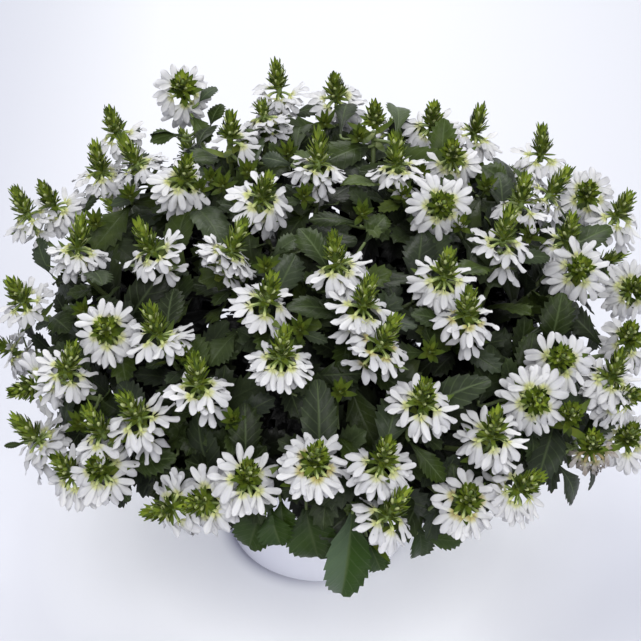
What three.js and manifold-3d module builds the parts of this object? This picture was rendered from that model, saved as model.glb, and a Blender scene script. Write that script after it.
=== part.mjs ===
// Potted white fan flower: a rounded bush of flower spikes in a plain pot.
// Millimetres, +Z up, origin at the middle of the pot's underside, front towards -Y.
import * as THREE from "three";
import { mergeVertices } from "three/addons/utils/BufferGeometryUtils.js";
import Module from "manifold-3d";

const wasm = await Module();
wasm.setup();

// Pot and soil
const POT_HEIGHT = 125;
const POT_BASE_RADIUS = 61;
const POT_RIM_RADIUS = 72.5;
const POT_WALL = 4;
const POT_FLOOR = 6;
const POT_EDGE = 1.5;
const POT_SIDES = 32;
const SOIL_TOP = 111;
const SOIL_CROWN = 3;
const SOIL_CROWN_SHARE = 0.6;
const STEM_HOLE_RISE = 4;
const GAP = 0.35;

// The dome that the rings of fans lie on
const DOME_CENTRE_HEIGHT = 150;
const DOME_RADIUS = 200;
const DOME_HALF_HEIGHT = 130;

// The front view in which the spikes are laid out, a square of 641 units a side
const VIEW_HALF = 320.5;
const VIEW_PITCH = THREE.MathUtils.degToRad(38);
const VIEW_DISTANCE = 1100;
const VIEW_FOCAL = 1760;
const VIEW_TARGET_HEIGHT = 171;
const LEAST_NEARNESS = 0.05;

// A flower spike: a ring of fans round the stem, and a head of bracts above it
const SPIKE_LENGTH = 27;
const RING_INNER_RADIUS = 2.5;
const RING_HALF_THICKNESS = 1.5;
const FAN_THROAT = 11;
const PETAL_LENGTH = 11;
const PETAL_NOTCH = 4.5;
const PETALS = 4;
const LOWER_PETALS = 3;
const PETAL_STEP = THREE.MathUtils.degToRad(44);
const FANS = 5;
const FAN_TURN = 2 * Math.PI / FANS;
const LOWER_FAN_DROP = 9;
const FAN_DROP = 3;
const FAN_DROOP = 0.1;
const FAN_DROOP_SPREAD = 0.2;
const FAN_SAG = 0.4;
const RING_TURN_SPREAD = 0.5;
const WAIST = 6;
const REACH_STEP = 0.05;
const LEAST_REACH = 0.25;

// The head: levels up the axis, and the tips that its bracts are drawn out to
const STEM_RADIUS = 1.6;
const STEM_SIDES = 3;
const HEAD_START = 3;
const HEAD_LEVELS = [HEAD_START, 9.5, 16.5, 22.5];
const HEAD_RADII = [STEM_RADIUS, 5.2, 5, 3];
const HEAD_TIP = 25;
const BRACT_REACH = [4.6, 4, 2.6];
const BRACT_RISE = 3.5;

// Main stems, of which the first ones stand nearer the middle
const MAIN_STEM_RADIUS = 3;
const MAIN_STEM_RADII = [MAIN_STEM_RADIUS, MAIN_STEM_RADIUS, 2.7, 2.2];
const MAIN_STEM_SIDES = 4;
const MAIN_STEM_DEPTH = 18;
const MAIN_STEM_BOW = 5;
const INNER_STEMS = 2;
const INNER_STEM_REACH = 10.2;
const OUTER_STEM_REACH = 30.6;
const COLLAR_RISE = 6;
const FORK_PLACE = 0.5;
const FORK_SPREAD = 0.5;

// Spikes' stems
const STEM_STEPS = 2;
const STEM_START_PULL = 0.35;
const STEM_END_PULL = 0.22;
const NECK_LENGTH = 8;
const START_SIDE = [0.31, 0.95, 0.1];

// Tufts of close leaves where the main stems fork
const TUFT_RADIUS = 24;
const TUFT_HALF_LENGTH = 32;
const TUFT_TIP = 1.25;
const TUFT_TIP_LEAST = 0.85;
const TUFT_TIP_SPREAD = 0.3;
const TUFT_PLACE = 0.8;
const TUFT_STEP = 0.05;
const TUFT_MOST = 2.2;

// Leaves
const LEAF_HALF_THICKNESS = 0.8;
const LEAF_WIDTH_SHARE = 0.44;
const LARGE_LEAF_OUTLINE = [[0.22, 0.34], [0.58, 1], [0.64, 0.84], [0.84, 0.74]];
const SMALL_LEAF_OUTLINE = [[0.24, 0.36], [0.6, 1], [0.84, 0.7]];
const LEAF_ARCH = 0.12;
const LEAF_LENGTH = 48;
const LEAF_LENGTH_LEAST = 0.8;
const LEAF_LENGTH_SPREAD = 0.4;
const LEAF_RISE = 0.45;
const LEAF_RISE_SPREAD = 0.35;
const LEAF_ROOT_DEPTH = 0.7;
const LEAF_FOOT = 4;
const LEAF_COLLAR = 3.5;
const LEAF_FIRST = 14;
const LEAF_STEP = 16;
const LEAF_PLACE_SPREAD = 0.5;
const LEAF_LAST_SHARE = 0.8;
const LEAF_TRIES = 14;
const LEAF_SHORTENING = 0.05;
const LEAF_LOWEST = 104;
const LEAF_ROOM = 0.3;
const LEAF_MOST_ADDED = 40;
const LEAFY_HEIGHT = 260;
const FRONT_LEAF_SINK = 0.04;
const FRONT_LEAF_SHIFTS = [0, 0.03, -0.03, -0.06, 0.06, -0.09, -0.12, 0.09];
const FRONT_LEAF_MOST_ADDED = 64;
const ROOT_SHARES = [0.15, 0.9];

// Room between pieces, and how rings are joined in pairs
const CLEARANCE = 0.7;
const STEM_ROOM = 3.6;
const HEAD_ROOM = 10.5;
const JOIN_OVERLAP = 5;
const JOIN_LIMIT = 62;
const JOIN_STEEPEST = 0.65;
const BLOOM_LIMIT = 50;
const LEAST_EDGE = 0.004;
const MERGE_DISTANCE = 1e-4;
const NEARLY_PARALLEL = 1e-9;

const SEED = 4.7;
const GREEN = new THREE.MeshStandardMaterial({ color: 0x4d6b2c, roughness: 0.6, metalness: 0 });
const WHITE = new THREE.MeshStandardMaterial({ color: 0xf1eff5, roughness: 0.55, metalness: 0 });
const POT_WHITE = new THREE.MeshStandardMaterial({ color: 0xe9e9ee, roughness: 0.3, metalness: 0 });
const SOIL_BROWN = new THREE.MeshStandardMaterial({ color: 0x2a211b, roughness: 0.95, metalness: 0 });

// Spikes seen from the front. Each row: ring centre across and down the view, the way from
// there to the tip, the number of fans and how many of them hang lower.
const SPIKES = [
  [183, 92, 3, -8, 5, 0],
  [117, 134, -8, -30, 4, 1],
  [101, 172, -6, -34, 4, 1],
  [28, 215, -13, -32, 4, 1],
  [54, 206, -12, -27, 4, 1],
  [183, 180, 8, -24, 5, 1],
  [78, 248, 6, -38, 5, 0],
  [152, 251, -14, -30, 4, 1],
  [230, 140, 2, -30, 2, 0],
  [279, 90, -4, -34, 4, 2],
  [336, 98, -2, -26, 4, 1],
  [374, 124, 0, -20, 0, 0],
  [432, 126, 1, -24, 4, 1],
  [318, 164, 1, -38, 5, 1],
  [397, 166, -2, -38, 4, 1],
  [474, 134, 8, -34, 4, 1],
  [452, 158, -2, -14, 3, 0],
  [541, 156, -1, -36, 3, 1],
  [521, 204, 3, -34, 3, 0],
  [503, 240, 6, -36, 4, 1],
  [587, 196, -2, -10, 5, 1],
  [617, 216, 13, -28, 4, 1],
  [566, 242, 5, -30, 3, 0],
  [441, 206, 2, -4, 5, 0],
  [262, 198, 9, -24, 5, 1],
  [230, 252, 18, -36, 5, 1],
  [337, 265, -5, -33, 4, 1],
  [578, 270, 2, -6, 5, 0],
  [632, 290, 8, -8, 5, 0],
  [24, 302, -12, -26, 5, 0],
  [107, 331, 0, -8, 5, 0],
  [158, 334, -9, -32, 4, 0],
  [265, 302, 10, -28, 5, 0],
  [281, 358, 4, -32, 5, 0],
  [363, 307, 8, -32, 5, 1],
  [380, 345, 17, -30, 5, 1],
  [422, 403, 3, -24, 5, 0],
  [444, 277, 4, -28, 5, 1],
  [466, 316, 2, -30, 5, 1],
  [560, 360, 0, -8, 4, 0],
  [535, 401, 2, -3, 5, 0],
  [611, 378, 8, -32, 5, 0],
  [630, 340, -6, -18, 4, 0],
  [618, 398, 22, -6, 4, 0],
  [626, 440, 4, -18, 5, 0],
  [592, 448, -4, -18, 3, 1],
  [570, 418, -2, -14, 0, 0],
  [67, 372, 11, -32, 5, 1],
  [198, 386, -2, -34, 4, 1],
  [138, 418, -15, -28, 5, 1],
  [36, 386, -24, 6, 3, 0],
  [103, 434, -15, -30, 3, 0],
  [38, 440, -25, -28, 5, 1],
  [74, 474, -18, -22, 5, 1],
  [102, 470, -4, -12, 4, 0],
  [172, 508, -26, 2, 5, 0],
  [205, 502, -20, -2, 4, 0],
  [247, 480, 4, -20, 5, 0],
  [315, 464, 4, -22, 5, 0],
  [382, 462, 6, -26, 4, 1],
  [388, 516, 18, -30, 4, 0],
  [492, 436, 3, -28, 5, 0],
  [466, 502, 4, -18, 5, 0],
  [519, 490, 20, -20, 4, 0],
];

// Spikes on the far side, laid out by the golden angle and clear of those in front
const BACK_PLACES = 22;
const BACK_SPACING = 42;
const BACK_TOP_SLOPE = THREE.MathUtils.degToRad(20);
const BACK_LOW_SLOPE = THREE.MathUtils.degToRad(97);
const BACK_PETALS = 3;
const BACK_UPTURN = 0.75;

// Where the main stems lead: share of the dome's radius to the right, to the back and up
const MAIN_STEMS = [
  [-0.1, -0.3, 0.9],
  [0.3, 0.35, 0.9],
  [-0.8, -0.15, 0.45],
  [-0.5, -0.75, 0.25],
  [0.2, -0.9, 0.3],
  [0.8, -0.45, 0.35],
  [0.75, 0.5, 0.4],
  [-0.45, 0.75, 0.5],
];

// Large leaves seen from the front. Each row: tip across and down the view, blade's foot
// across and down, width in mm and share of the dome's radius.
const FRONT_LEAVES = [
  [249, 547, 262, 508, 24, 0.86],
  [281, 545, 270, 506, 20, 0.88],
  [318, 557, 306, 508, 30, 0.86],
  [341, 594, 352, 512, 27, 0.94],
  [381, 570, 366, 535, 14, 0.9],
  [464, 540, 416, 533, 11, 0.94],
  [420, 555, 417, 520, 16, 0.84],
  [444, 482, 408, 440, 12, 0.94],
  [573, 501, 556, 462, 15, 0.96],
  [588, 490, 590, 455, 14, 0.9],
  [529, 466, 530, 428, 18, 0.9],
  [493, 346, 478, 402, 26, 0.84],
  [578, 304, 524, 338, 14, 0.9],
  [550, 258, 495, 262, 11, 0.92],
  [596, 372, 566, 356, 14, 0.9],
  [309, 220, 361, 226, 12, 0.9],
  [298, 238, 272, 258, 13, 0.9],
  [386, 216, 364, 244, 13, 0.92],
  [362, 374, 308, 376, 15, 0.88],
  [332, 398, 296, 396, 14, 0.88],
  [210, 366, 238, 332, 16, 0.88],
  [256, 140, 256, 170, 14, 0.92],
  [42, 236, 48, 272, 17, 0.9],
  [178, 272, 182, 306, 24, 0.88],
  [150, 135, 182, 140, 13, 0.94],
  [208, 90, 202, 106, 10, 0.98],
  [395, 107, 396, 140, 16, 0.97],
  [348, 104, 340, 136, 15, 0.95],
  [500, 160, 500, 200, 24, 0.9],
  [548, 190, 552, 232, 15, 0.94],
  [560, 172, 530, 176, 10, 1],
  [304, 128, 296, 160, 15, 0.9],
  [123, 498, 108, 478, 9, 0.97],
  [131, 500, 118, 478, 9, 0.95],
  [140, 470, 176, 456, 16, 0.88],
  [62, 402, 92, 410, 14, 0.9],
];

const GOLDEN_ANGLE = Math.PI * (3 - Math.sqrt(5));
const GOLDEN_SHARE = (Math.sqrt(5) - 1) / 2;

function draw(index, salt) {
  const value = Math.sin(index * 12.9898 + salt * 78.233 + SEED) * 43758.5453;
  return value - Math.floor(value);
}

function vec(x, y, z) {
  return new THREE.Vector3(x, y, z);
}

function along(start, direction, distance) {
  return start.clone().addScaledVector(direction, distance);
}

function mix(a, b, share) {
  return a.clone().lerp(b, share);
}

// The direction from the viewpoint to a place in the view
const VIEW_RIGHT = vec(1, 0, 0);
const VIEW_UP = vec(0, Math.sin(VIEW_PITCH), Math.cos(VIEW_PITCH));
const VIEW_BACK = vec(0, -Math.cos(VIEW_PITCH), Math.sin(VIEW_PITCH));
const VIEWPOINT = along(vec(0, 0, VIEW_TARGET_HEIGHT), VIEW_BACK, VIEW_DISTANCE);

function viewRay(across, down) {
  return VIEW_BACK.clone()
    .multiplyScalar(-VIEW_FOCAL)
    .addScaledVector(VIEW_RIGHT, across - VIEW_HALF)
    .addScaledVector(VIEW_UP, VIEW_HALF - down)
    .normalize();
}

// The near side of the dome, scaled by share, at a place in the view. A ray that misses the
// dome ends where it passes closest.
function onDome(across, down, share) {
  const ray = viewRay(across, down);
  const squash = vec(1 / DOME_RADIUS, 1 / DOME_RADIUS, 1 / DOME_HALF_HEIGHT).divideScalar(share);
  const from = VIEWPOINT.clone().sub(vec(0, 0, DOME_CENTRE_HEIGHT)).multiply(squash);
  const way = ray.clone().multiply(squash);
  const a = way.dot(way);
  const b = from.dot(way);
  const c = from.dot(from) - 1;
  const root = Math.sqrt(Math.max(0, b * b - a * c));
  return along(VIEWPOINT, ray, (-b - root) / a);
}

// Each spike's ring centre, axis and fans
function frontSpike([across, down, tipAcross, tipDown, fans, lowFans]) {
  const centre = onDome(across, down, 1);
  const scale = VIEW_FOCAL / VIEW_DISTANCE * SPIKE_LENGTH;
  const right = tipAcross / scale;
  const up = -tipDown / scale;
  const near = Math.sqrt(Math.max(LEAST_NEARNESS, 1 - right * right - up * up));
  const axis = VIEW_RIGHT.clone().multiplyScalar(right);
  axis.addScaledVector(VIEW_UP, up).addScaledVector(VIEW_BACK, near).normalize();
  return { centre, axis, fans, lowFans, petals: PETALS };
}

function backSpike(index) {
  const share = (index + 0.5) / BACK_PLACES;
  const slope = Math.acos(THREE.MathUtils.lerp(Math.cos(BACK_TOP_SLOPE), Math.cos(BACK_LOW_SLOPE), share));
  const turn = (index * GOLDEN_SHARE) % 1 * Math.PI;
  const side = vec(Math.cos(turn), Math.sin(turn), 0);
  const height = DOME_CENTRE_HEIGHT + DOME_HALF_HEIGHT * Math.cos(slope);
  const centre = along(vec(0, 0, height), side, DOME_RADIUS * Math.sin(slope));
  const axis = side.clone().multiplyScalar(Math.sin(slope * BACK_UPTURN));
  axis.z = Math.cos(slope * BACK_UPTURN);
  return { centre, axis: axis.normalize(), fans: FANS, lowFans: index % 2, petals: BACK_PETALS };
}

const spikes = SPIKES.map(frontSpike);
for (let index = 0; index < BACK_PLACES; index++) {
  const spike = backSpike(index);
  if (spikes.every((other) => other.centre.distanceTo(spike.centre) > BACK_SPACING)) {
    spikes.push(spike);
  }
}
spikes.forEach((spike, index) => {
  spike.index = index;
  spike.across = vec(0, 0, 1).cross(spike.axis).normalize();
  spike.forward = spike.axis.clone().cross(spike.across);
});

// Closed solids from triangles
function solid(points, triangles) {
  const vertProperties = new Float32Array(points.flatMap((point) => [point.x, point.y, point.z]));
  const triVerts = new Uint32Array(triangles.flat());
  return new wasm.Manifold(new wasm.Mesh({ numProp: 3, vertProperties, triVerts }));
}

function solidOf(geometry) {
  geometry.deleteAttribute("normal");
  geometry.deleteAttribute("uv");
  const merged = mergeVertices(geometry, MERGE_DISTANCE);
  const vertProperties = new Float32Array(merged.attributes.position.array);
  const triVerts = new Uint32Array(merged.index.array);
  return new wasm.Manifold(new wasm.Mesh({ numProp: 3, vertProperties, triVerts }));
}

// Solids joined in one, without any loose scrap
function joined(solids) {
  const whole = solids.reduce((sum, piece) => sum.add(piece));
  return whole.decompose().sort((a, b) => b.volume() - a.volume())[0];
}

// Whether no two corners of a solid lie so close that rounding would merge them
function hasClearCorners(body) {
  const { vertProperties } = body.getMesh();
  const corners = [];
  for (let index = 0; index < vertProperties.length; index += 3) {
    corners.push(vec(...vertProperties.slice(index, index + 3)));
  }
  corners.sort((a, b) => a.x - b.x);
  return corners.every((corner, index) => {
    let next = index + 1;
    while (next < corners.length && corners[next].x - corner.x < LEAST_EDGE) {
      if (corners[next].distanceTo(corner) < LEAST_EDGE) {
        return false;
      }
      next += 1;
    }
    return true;
  });
}

function named(name, body, material) {
  const { numProp, vertProperties, triVerts } = body.getMesh();
  const geometry = new THREE.BufferGeometry();
  geometry.setAttribute("position", new THREE.InterleavedBufferAttribute(
    new THREE.InterleavedBuffer(vertProperties, numProp), 3, 0));
  geometry.setIndex(new THREE.BufferAttribute(triVerts, 1));
  geometry.computeVertexNormals();
  const mesh = new THREE.Mesh(geometry, material);
  mesh.name = name;
  return mesh;
}

// Side vectors that turn as little as possible along a path
function pathFrames(path) {
  const frames = [];
  let side = vec(...START_SIDE);
  path.forEach((point, index) => {
    const before = path[Math.max(0, index - 1)];
    const after = path[Math.min(path.length - 1, index + 1)];
    const tangent = after.clone().sub(before).normalize();
    side = side.clone().addScaledVector(tangent, -side.dot(tangent)).normalize();
    frames.push({ point, side, other: tangent.clone().cross(side) });
  });
  return frames;
}

function loopAround({ point, side, other }, radius, sides, twist) {
  const loop = [];
  for (let corner = 0; corner < sides; corner++) {
    const turn = (corner + twist) / sides * 2 * Math.PI;
    loop.push(point.clone()
      .addScaledVector(side, radius * Math.cos(turn))
      .addScaledVector(other, radius * Math.sin(turn)));
  }
  return loop;
}

function bandTriangles(triangles, low, high, sides) {
  for (let corner = 0; corner < sides; corner++) {
    const next = (corner + 1) % sides;
    triangles.push([low + corner, low + next, high + corner]);
    triangles.push([low + next, high + next, high + corner]);
  }
}

function capTriangles(triangles, first, sides) {
  for (let corner = 1; corner < sides - 1; corner++) {
    triangles.push([first, first + corner + 1, first + corner]);
  }
}

function tube(path, radii, sides) {
  const points = [];
  const triangles = [];
  pathFrames(path).forEach((frame, index) => {
    points.push(...loopAround(frame, radii[index], sides, 0));
    if (index > 0) {
      bandTriangles(triangles, points.length - 2 * sides, points.length - sides, sides);
    }
  });
  capTriangles(triangles, 0, sides);
  points.push(path[path.length - 1].clone());
  const last = points.length - 1;
  for (let corner = 0; corner < sides; corner++) {
    triangles.push([last - sides + corner, last - sides + (corner + 1) % sides, last]);
  }
  return solid(points, triangles);
}

// A stem that ends in a head of bracts: bands of triangles, each second one drawn out to a tip
function spikeSolid(path, axis) {
  const points = [];
  const triangles = [];
  const sides = STEM_SIDES;
  const frames = pathFrames(path);
  frames.forEach((frame, index) => {
    points.push(...loopAround(frame, STEM_RADIUS, sides, 0));
    if (index > 0) {
      bandTriangles(triangles, points.length - 2 * sides, points.length - sides, sides);
    }
  });
  capTriangles(triangles, 0, sides);
  const { point: neck, side, other } = frames[frames.length - 1];
  const foot = along(neck, axis, -HEAD_START);
  const levels = HEAD_LEVELS.map((level, index) => {
    if (index > 0) {
      const frame = { point: along(foot, axis, level), side, other };
      points.push(...loopAround(frame, HEAD_RADII[index], sides, index / 2));
    }
    return points.length - sides;
  });
  BRACT_REACH.forEach((reach, band) => {
    const low = levels[band];
    const high = levels[band + 1];
    for (let corner = 0; corner < sides; corner++) {
      const next = (corner + 1) % sides;
      const top = points[high + corner];
      const middle = along(foot, axis, HEAD_LEVELS[band + 1]);
      const outward = top.clone().sub(middle).normalize();
      points.push(along(along(top, outward, reach), axis, BRACT_RISE));
      const tip = points.length - 1;
      triangles.push([low + corner, low + next, tip]);
      triangles.push([low + next, high + corner, tip]);
      triangles.push([high + corner, low + corner, tip]);
      triangles.push([low + next, high + next, high + corner]);
    }
  });
  points.push(along(foot, axis, HEAD_TIP));
  const apex = points.length - 1;
  const crown = levels[levels.length - 1];
  for (let corner = 0; corner < sides; corner++) {
    triangles.push([crown + corner, crown + (corner + 1) % sides, apex]);
  }
  return solid(points, triangles);
}

// Main stems, each with the spikes nearest to the place it leads to
const aims = MAIN_STEMS.map(([right, back, up]) => vec(
  right * DOME_RADIUS, back * DOME_RADIUS, DOME_CENTRE_HEIGHT + up * DOME_HALF_HEIGHT));

function nearestAim(place) {
  const distances = aims.map((aim) => aim.distanceTo(place));
  return distances.indexOf(Math.min(...distances));
}

const branches = aims.map((aim, index) => {
  const turn = Math.atan2(aim.y, aim.x);
  const reach = index < INNER_STEMS ? INNER_STEM_REACH : OUTER_STEM_REACH;
  const root = vec(reach * Math.cos(turn), reach * Math.sin(turn), SOIL_TOP - MAIN_STEM_DEPTH);
  return { index, root, spikes: spikes.filter((spike) => nearestAim(spike.centre) === index) };
});

for (const branch of branches) {
  const { root } = branch;
  const middle = branch.spikes
    .reduce((sum, spike) => sum.add(spike.centre), vec(0, 0, 0))
    .divideScalar(branch.spikes.length);
  const collar = vec(root.x, root.y, SOIL_TOP + SOIL_CROWN + COLLAR_RISE);
  const end = mix(vec(root.x, root.y, SOIL_TOP), middle, FORK_PLACE);
  const bend = mix(collar, end, 0.5).add(vec(0, 0, MAIN_STEM_BOW));
  branch.path = [root, collar, bend, end];
  const ordered = [...branch.spikes].sort(
    (one, two) => one.centre.distanceTo(end) - two.centre.distanceTo(end));
  ordered.forEach((spike, order) => {
    const { centre, axis } = spike;
    const start = mix(end, bend, FORK_SPREAD * order / ordered.length);
    const last = along(centre, axis, -STEM_END_PULL * start.distanceTo(centre));
    const neck = along(centre, axis, -NECK_LENGTH);
    const first = mix(start, centre, STEM_START_PULL);
    const curve = new THREE.CubicBezierCurve3(start, first, last, neck);
    spike.path = [...curve.getPoints(STEM_STEPS), along(centre, axis, HEAD_START)];
    spike.branch = branch;
  });
}

// Shortest distance between two straight stretches
function stretchDistance(a, b, c, d) {
  const ab = b.clone().sub(a);
  const cd = d.clone().sub(c);
  const ac = c.clone().sub(a);
  const dotAB = ab.dot(ab);
  const dotCD = cd.dot(cd);
  const across = ab.dot(cd);
  const spread = dotAB * dotCD - across * across;
  let s = spread > NEARLY_PARALLEL ? (ab.dot(ac) * dotCD - cd.dot(ac) * across) / spread : 0;
  s = THREE.MathUtils.clamp(s, 0, 1);
  const t = THREE.MathUtils.clamp((cd.dot(along(a, ab, s)) - cd.dot(c)) / dotCD, 0, 1);
  s = THREE.MathUtils.clamp((ab.dot(along(c, cd, t)) - ab.dot(a)) / dotAB, 0, 1);
  return along(a, ab, s).distanceTo(along(c, cd, t));
}

// How far a place may be from its own ring before it comes near another group's ring
function staysOwn(spike, place) {
  const own = place.distanceTo(spike.centre);
  return blooms.every((other) => other.group === spike.group
    || place.distanceTo(other.centre) ** 2 - own ** 2
      > 2 * CLEARANCE * other.centre.distanceTo(spike.centre));
}

// Whether a petal that ends at a place passes clear of the other spikes' stems and heads
function clearOfStems(spike, place) {
  return spikes.every((other) => other === spike || (
    other.path.slice(1).every((point, index) => stretchDistance(
      spike.centre, place, other.path[index], point) > STEM_ROOM)
    && stretchDistance(
      spike.centre, place, other.centre, along(other.centre, other.axis, HEAD_TIP)) > HEAD_ROOM));
}

function reachesTo(spike, place) {
  return staysOwn(spike, place) && clearOfStems(spike, place);
}

// Neighbouring rings are joined in pairs, each by a petal that reaches past the middle
// between them, nearest pairs first, until the rest fit the number of pieces
const blooms = spikes.filter((spike) => spike.fans > 0);
blooms.forEach((spike) => {
  spike.group = spike.index;
});

function ringPlace(spike, x, y, z) {
  return along(spike.centre, spike.across, x)
    .addScaledVector(spike.forward, y)
    .addScaledVector(spike.axis, z);
}

// The fans that hang lower are those in the middle of a ring's row of fans
function isLowFan({ fans, lowFans }, fan) {
  const first = Math.ceil((fans - lowFans) / 2);
  return fan >= first && fan < first + lowFans;
}

// The turn of a ring that has the middle of its row of fans towards the viewpoint
function turnToFront(spike) {
  const front = Math.atan2(VIEW_BACK.dot(spike.forward), VIEW_BACK.dot(spike.across));
  const spread = RING_TURN_SPREAD * (draw(spike.index, 1) - 0.5);
  return front - (spike.fans - 1) / 2 * FAN_TURN + spread;
}

// The fan that joins a ring to its neighbour, and the ring's turn with that fan's joining
// petal towards a place: of the fans that don't hang, the one that turns the ring least
function joiningFan(spike, target) {
  const way = target.clone().sub(spike.centre);
  const petalTurn = Math.atan2(PETAL_LENGTH * Math.sin(PETAL_STEP / 2),
    FAN_THROAT + PETAL_LENGTH * Math.cos(PETAL_STEP / 2));
  const facing = Math.atan2(way.dot(spike.forward), way.dot(spike.across)) - petalTurn;
  const choices = [];
  for (let fan = 0; fan < spike.fans; fan++) {
    const start = facing - fan * FAN_TURN;
    const change = Math.cos(start - turnToFront(spike));
    if (!isLowFan(spike, fan)) {
      choices.push({ fan, start, facing, change });
    }
  }
  return choices.sort((a, b) => b.change - a.change)[0];
}

function joiningTip(spike, middle) {
  const { facing } = joiningFan(spike, middle);
  const inner = ringPlace(
    spike, RING_INNER_RADIUS * Math.cos(facing), RING_INNER_RADIUS * Math.sin(facing), 0);
  return along(middle, middle.clone().sub(inner).normalize(), JOIN_OVERLAP);
}

function isNearlyFlat(spike, place) {
  const way = place.clone().sub(spike.centre);
  return Math.abs(way.dot(spike.axis)) < JOIN_STEEPEST * way.length();
}

const pairs = [];
blooms.forEach((one, index) => blooms.slice(index + 1).forEach((other) => {
  pairs.push({ one, other, distance: one.centre.distanceTo(other.centre) });
}));
pairs.sort((a, b) => a.distance - b.distance);
let groupCount = blooms.length;
for (const { one, other, distance } of pairs) {
  const isFree = !one.partnerTip && !other.partnerTip;
  if (groupCount > BLOOM_LIMIT && isFree && distance < JOIN_LIMIT) {
    const middle = mix(one.centre, other.centre, 0.5);
    const ends = [one, other].map((spike) => ({ spike, tip: joiningTip(spike, middle) }));
    other.group = one.group;
    if (ends.every(({ spike, tip }) => reachesTo(spike, tip) && isNearlyFlat(spike, middle))) {
      ends.forEach(({ spike, tip }) => {
        spike.joining = joiningFan(spike, middle);
        spike.partnerTip = tip;
      });
      groupCount -= 1;
    } else {
      other.group = other.index;
    }
  }
}

// The outline of a ring of fans, with one fan facing the ring that it is joined to. The
// petals spread from a throat beside the stem, and a waist lies between two fans.
function ringOutline(spike) {
  const start = spike.joining?.start ?? turnToFront(spike);
  const outline = [];
  for (let fan = 0; fan < FANS; fan++) {
    const facing = start + fan * FAN_TURN;
    const isLow = isLowFan(spike, fan);
    const petals = isLow ? LOWER_PETALS : spike.petals;
    const drop = (isLow ? LOWER_FAN_DROP : 0) + FAN_DROP * draw(spike.index, 10 + fan);
    const downhill = -Math.sin(facing) * spike.forward.z;
    const droop = FAN_DROOP + FAN_DROOP_SPREAD * draw(spike.index, 20 + fan) + FAN_SAG * downhill;
    for (let step = 0; fan < spike.fans && step < 2 * petals - 1; step++) {
      const isTip = step % 2 === 0;
      const turn = PETAL_STEP * (step / 2 - (petals - 1) / 2);
      const reach = isTip ? PETAL_LENGTH : PETAL_NOTCH;
      const out = FAN_THROAT + reach * Math.cos(turn);
      const aside = reach * Math.sin(turn);
      const x = out * Math.cos(facing) - aside * Math.sin(facing);
      const y = out * Math.sin(facing) + aside * Math.cos(facing);
      outline.push({ fan, place: ringPlace(spike, x, y, -droop * reach - drop) });
    }
    const between = facing + FAN_TURN / 2;
    outline.push({
      fan,
      place: ringPlace(spike, WAIST * Math.cos(between), WAIST * Math.sin(between), -drop / 2),
    });
  }
  outline.forEach((corner) => {
    const far = corner.place;
    let share = 1;
    while (share > LEAST_REACH && !reachesTo(spike, corner.place)) {
      share -= REACH_STEP;
      corner.place = mix(spike.centre, far, share);
    }
  });
  if (spike.partnerTip) {
    const first = outline.findIndex(({ fan }) => fan === spike.joining.fan);
    outline[first + spike.petals].place = spike.partnerTip;
  }
  const inner = [];
  for (let fan = 0; fan < FANS; fan++) {
    const facing = start + fan * FAN_TURN;
    inner.push([RING_INNER_RADIUS * Math.cos(facing), RING_INNER_RADIUS * Math.sin(facing)]);
  }
  const top = inner.map(([x, y]) => ringPlace(spike, x, y, RING_HALF_THICKNESS));
  const bottom = inner.map(([x, y]) => ringPlace(spike, x, y, -RING_HALF_THICKNESS));
  return { outline, top, bottom };
}

function ringSolid(spike) {
  const { outline, top, bottom } = ringOutline(spike);
  const points = [...outline.map((corner) => corner.place), ...top, ...bottom];
  const triangles = [];
  const firstTop = outline.length;
  const firstBottom = firstTop + FANS;
  outline.forEach(({ fan }, index) => {
    const next = (index + 1) % outline.length;
    const nextFan = outline[next].fan;
    const owner = nextFan === fan ? fan : nextFan;
    if (nextFan !== fan) {
      triangles.push([firstTop + fan, index, firstTop + nextFan]);
      triangles.push([firstBottom + fan, firstBottom + nextFan, index]);
    }
    triangles.push([firstTop + owner, index, next]);
    triangles.push([firstBottom + owner, next, index]);
  });
  for (let fan = 0; fan < FANS; fan++) {
    const next = (fan + 1) % FANS;
    triangles.push([firstTop + fan, firstTop + next, firstBottom + fan]);
    triangles.push([firstTop + next, firstBottom + next, firstBottom + fan]);
  }
  return solid(points, triangles);
}

// A leaf: a thin blade with toothed sides and a narrow foot that runs back into the stem.
// Its outline is shared by both faces, which swell to the middle and arch along the leaf.
function leafSolid({ outline, root, foot, tip, width, up }, swell) {
  const way = tip.clone().sub(foot);
  const length = way.length();
  way.normalize();
  const side = way.clone().cross(up).normalize();
  const face = side.clone().cross(way).normalize();
  const place = (share, aside, lift) => along(foot, way, share * length)
    .addScaledVector(side, aside * (width / 2 + swell))
    .addScaledVector(face, lift + LEAF_ARCH * length * 4 * share * (1 - share));
  const left = outline.map(([share, half]) => place(share, -half, 0));
  const right = outline.map(([share, half]) => place(share, half, 0)).reverse();
  const edge = [root, ...left, along(tip, way, swell), ...right];
  const thick = LEAF_HALF_THICKNESS + swell;
  const middle = outline[1][0];
  const collar = along(root, foot.clone().sub(root).normalize(), LEAF_COLLAR);
  const points = [...edge, along(collar, face, thick), place(middle, 0, thick),
    along(collar, face, -thick), place(middle, 0, -thick)];
  const count = edge.length;
  const triangles = [];
  for (const [first, isTop] of [[count, true], [count + 2, false]]) {
    const add = (a, b, c) => triangles.push(isTop ? [a, b, c] : [c, b, a]);
    for (let index = 0; index < count; index++) {
      const isFoot = index === 0 || index === count - 1;
      add(index, first + (isFoot ? 0 : 1), (index + 1) % count);
    }
    add(1, first, first + 1);
    add(first + 1, first, count - 1);
  }
  return solid(points, triangles);
}

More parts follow.
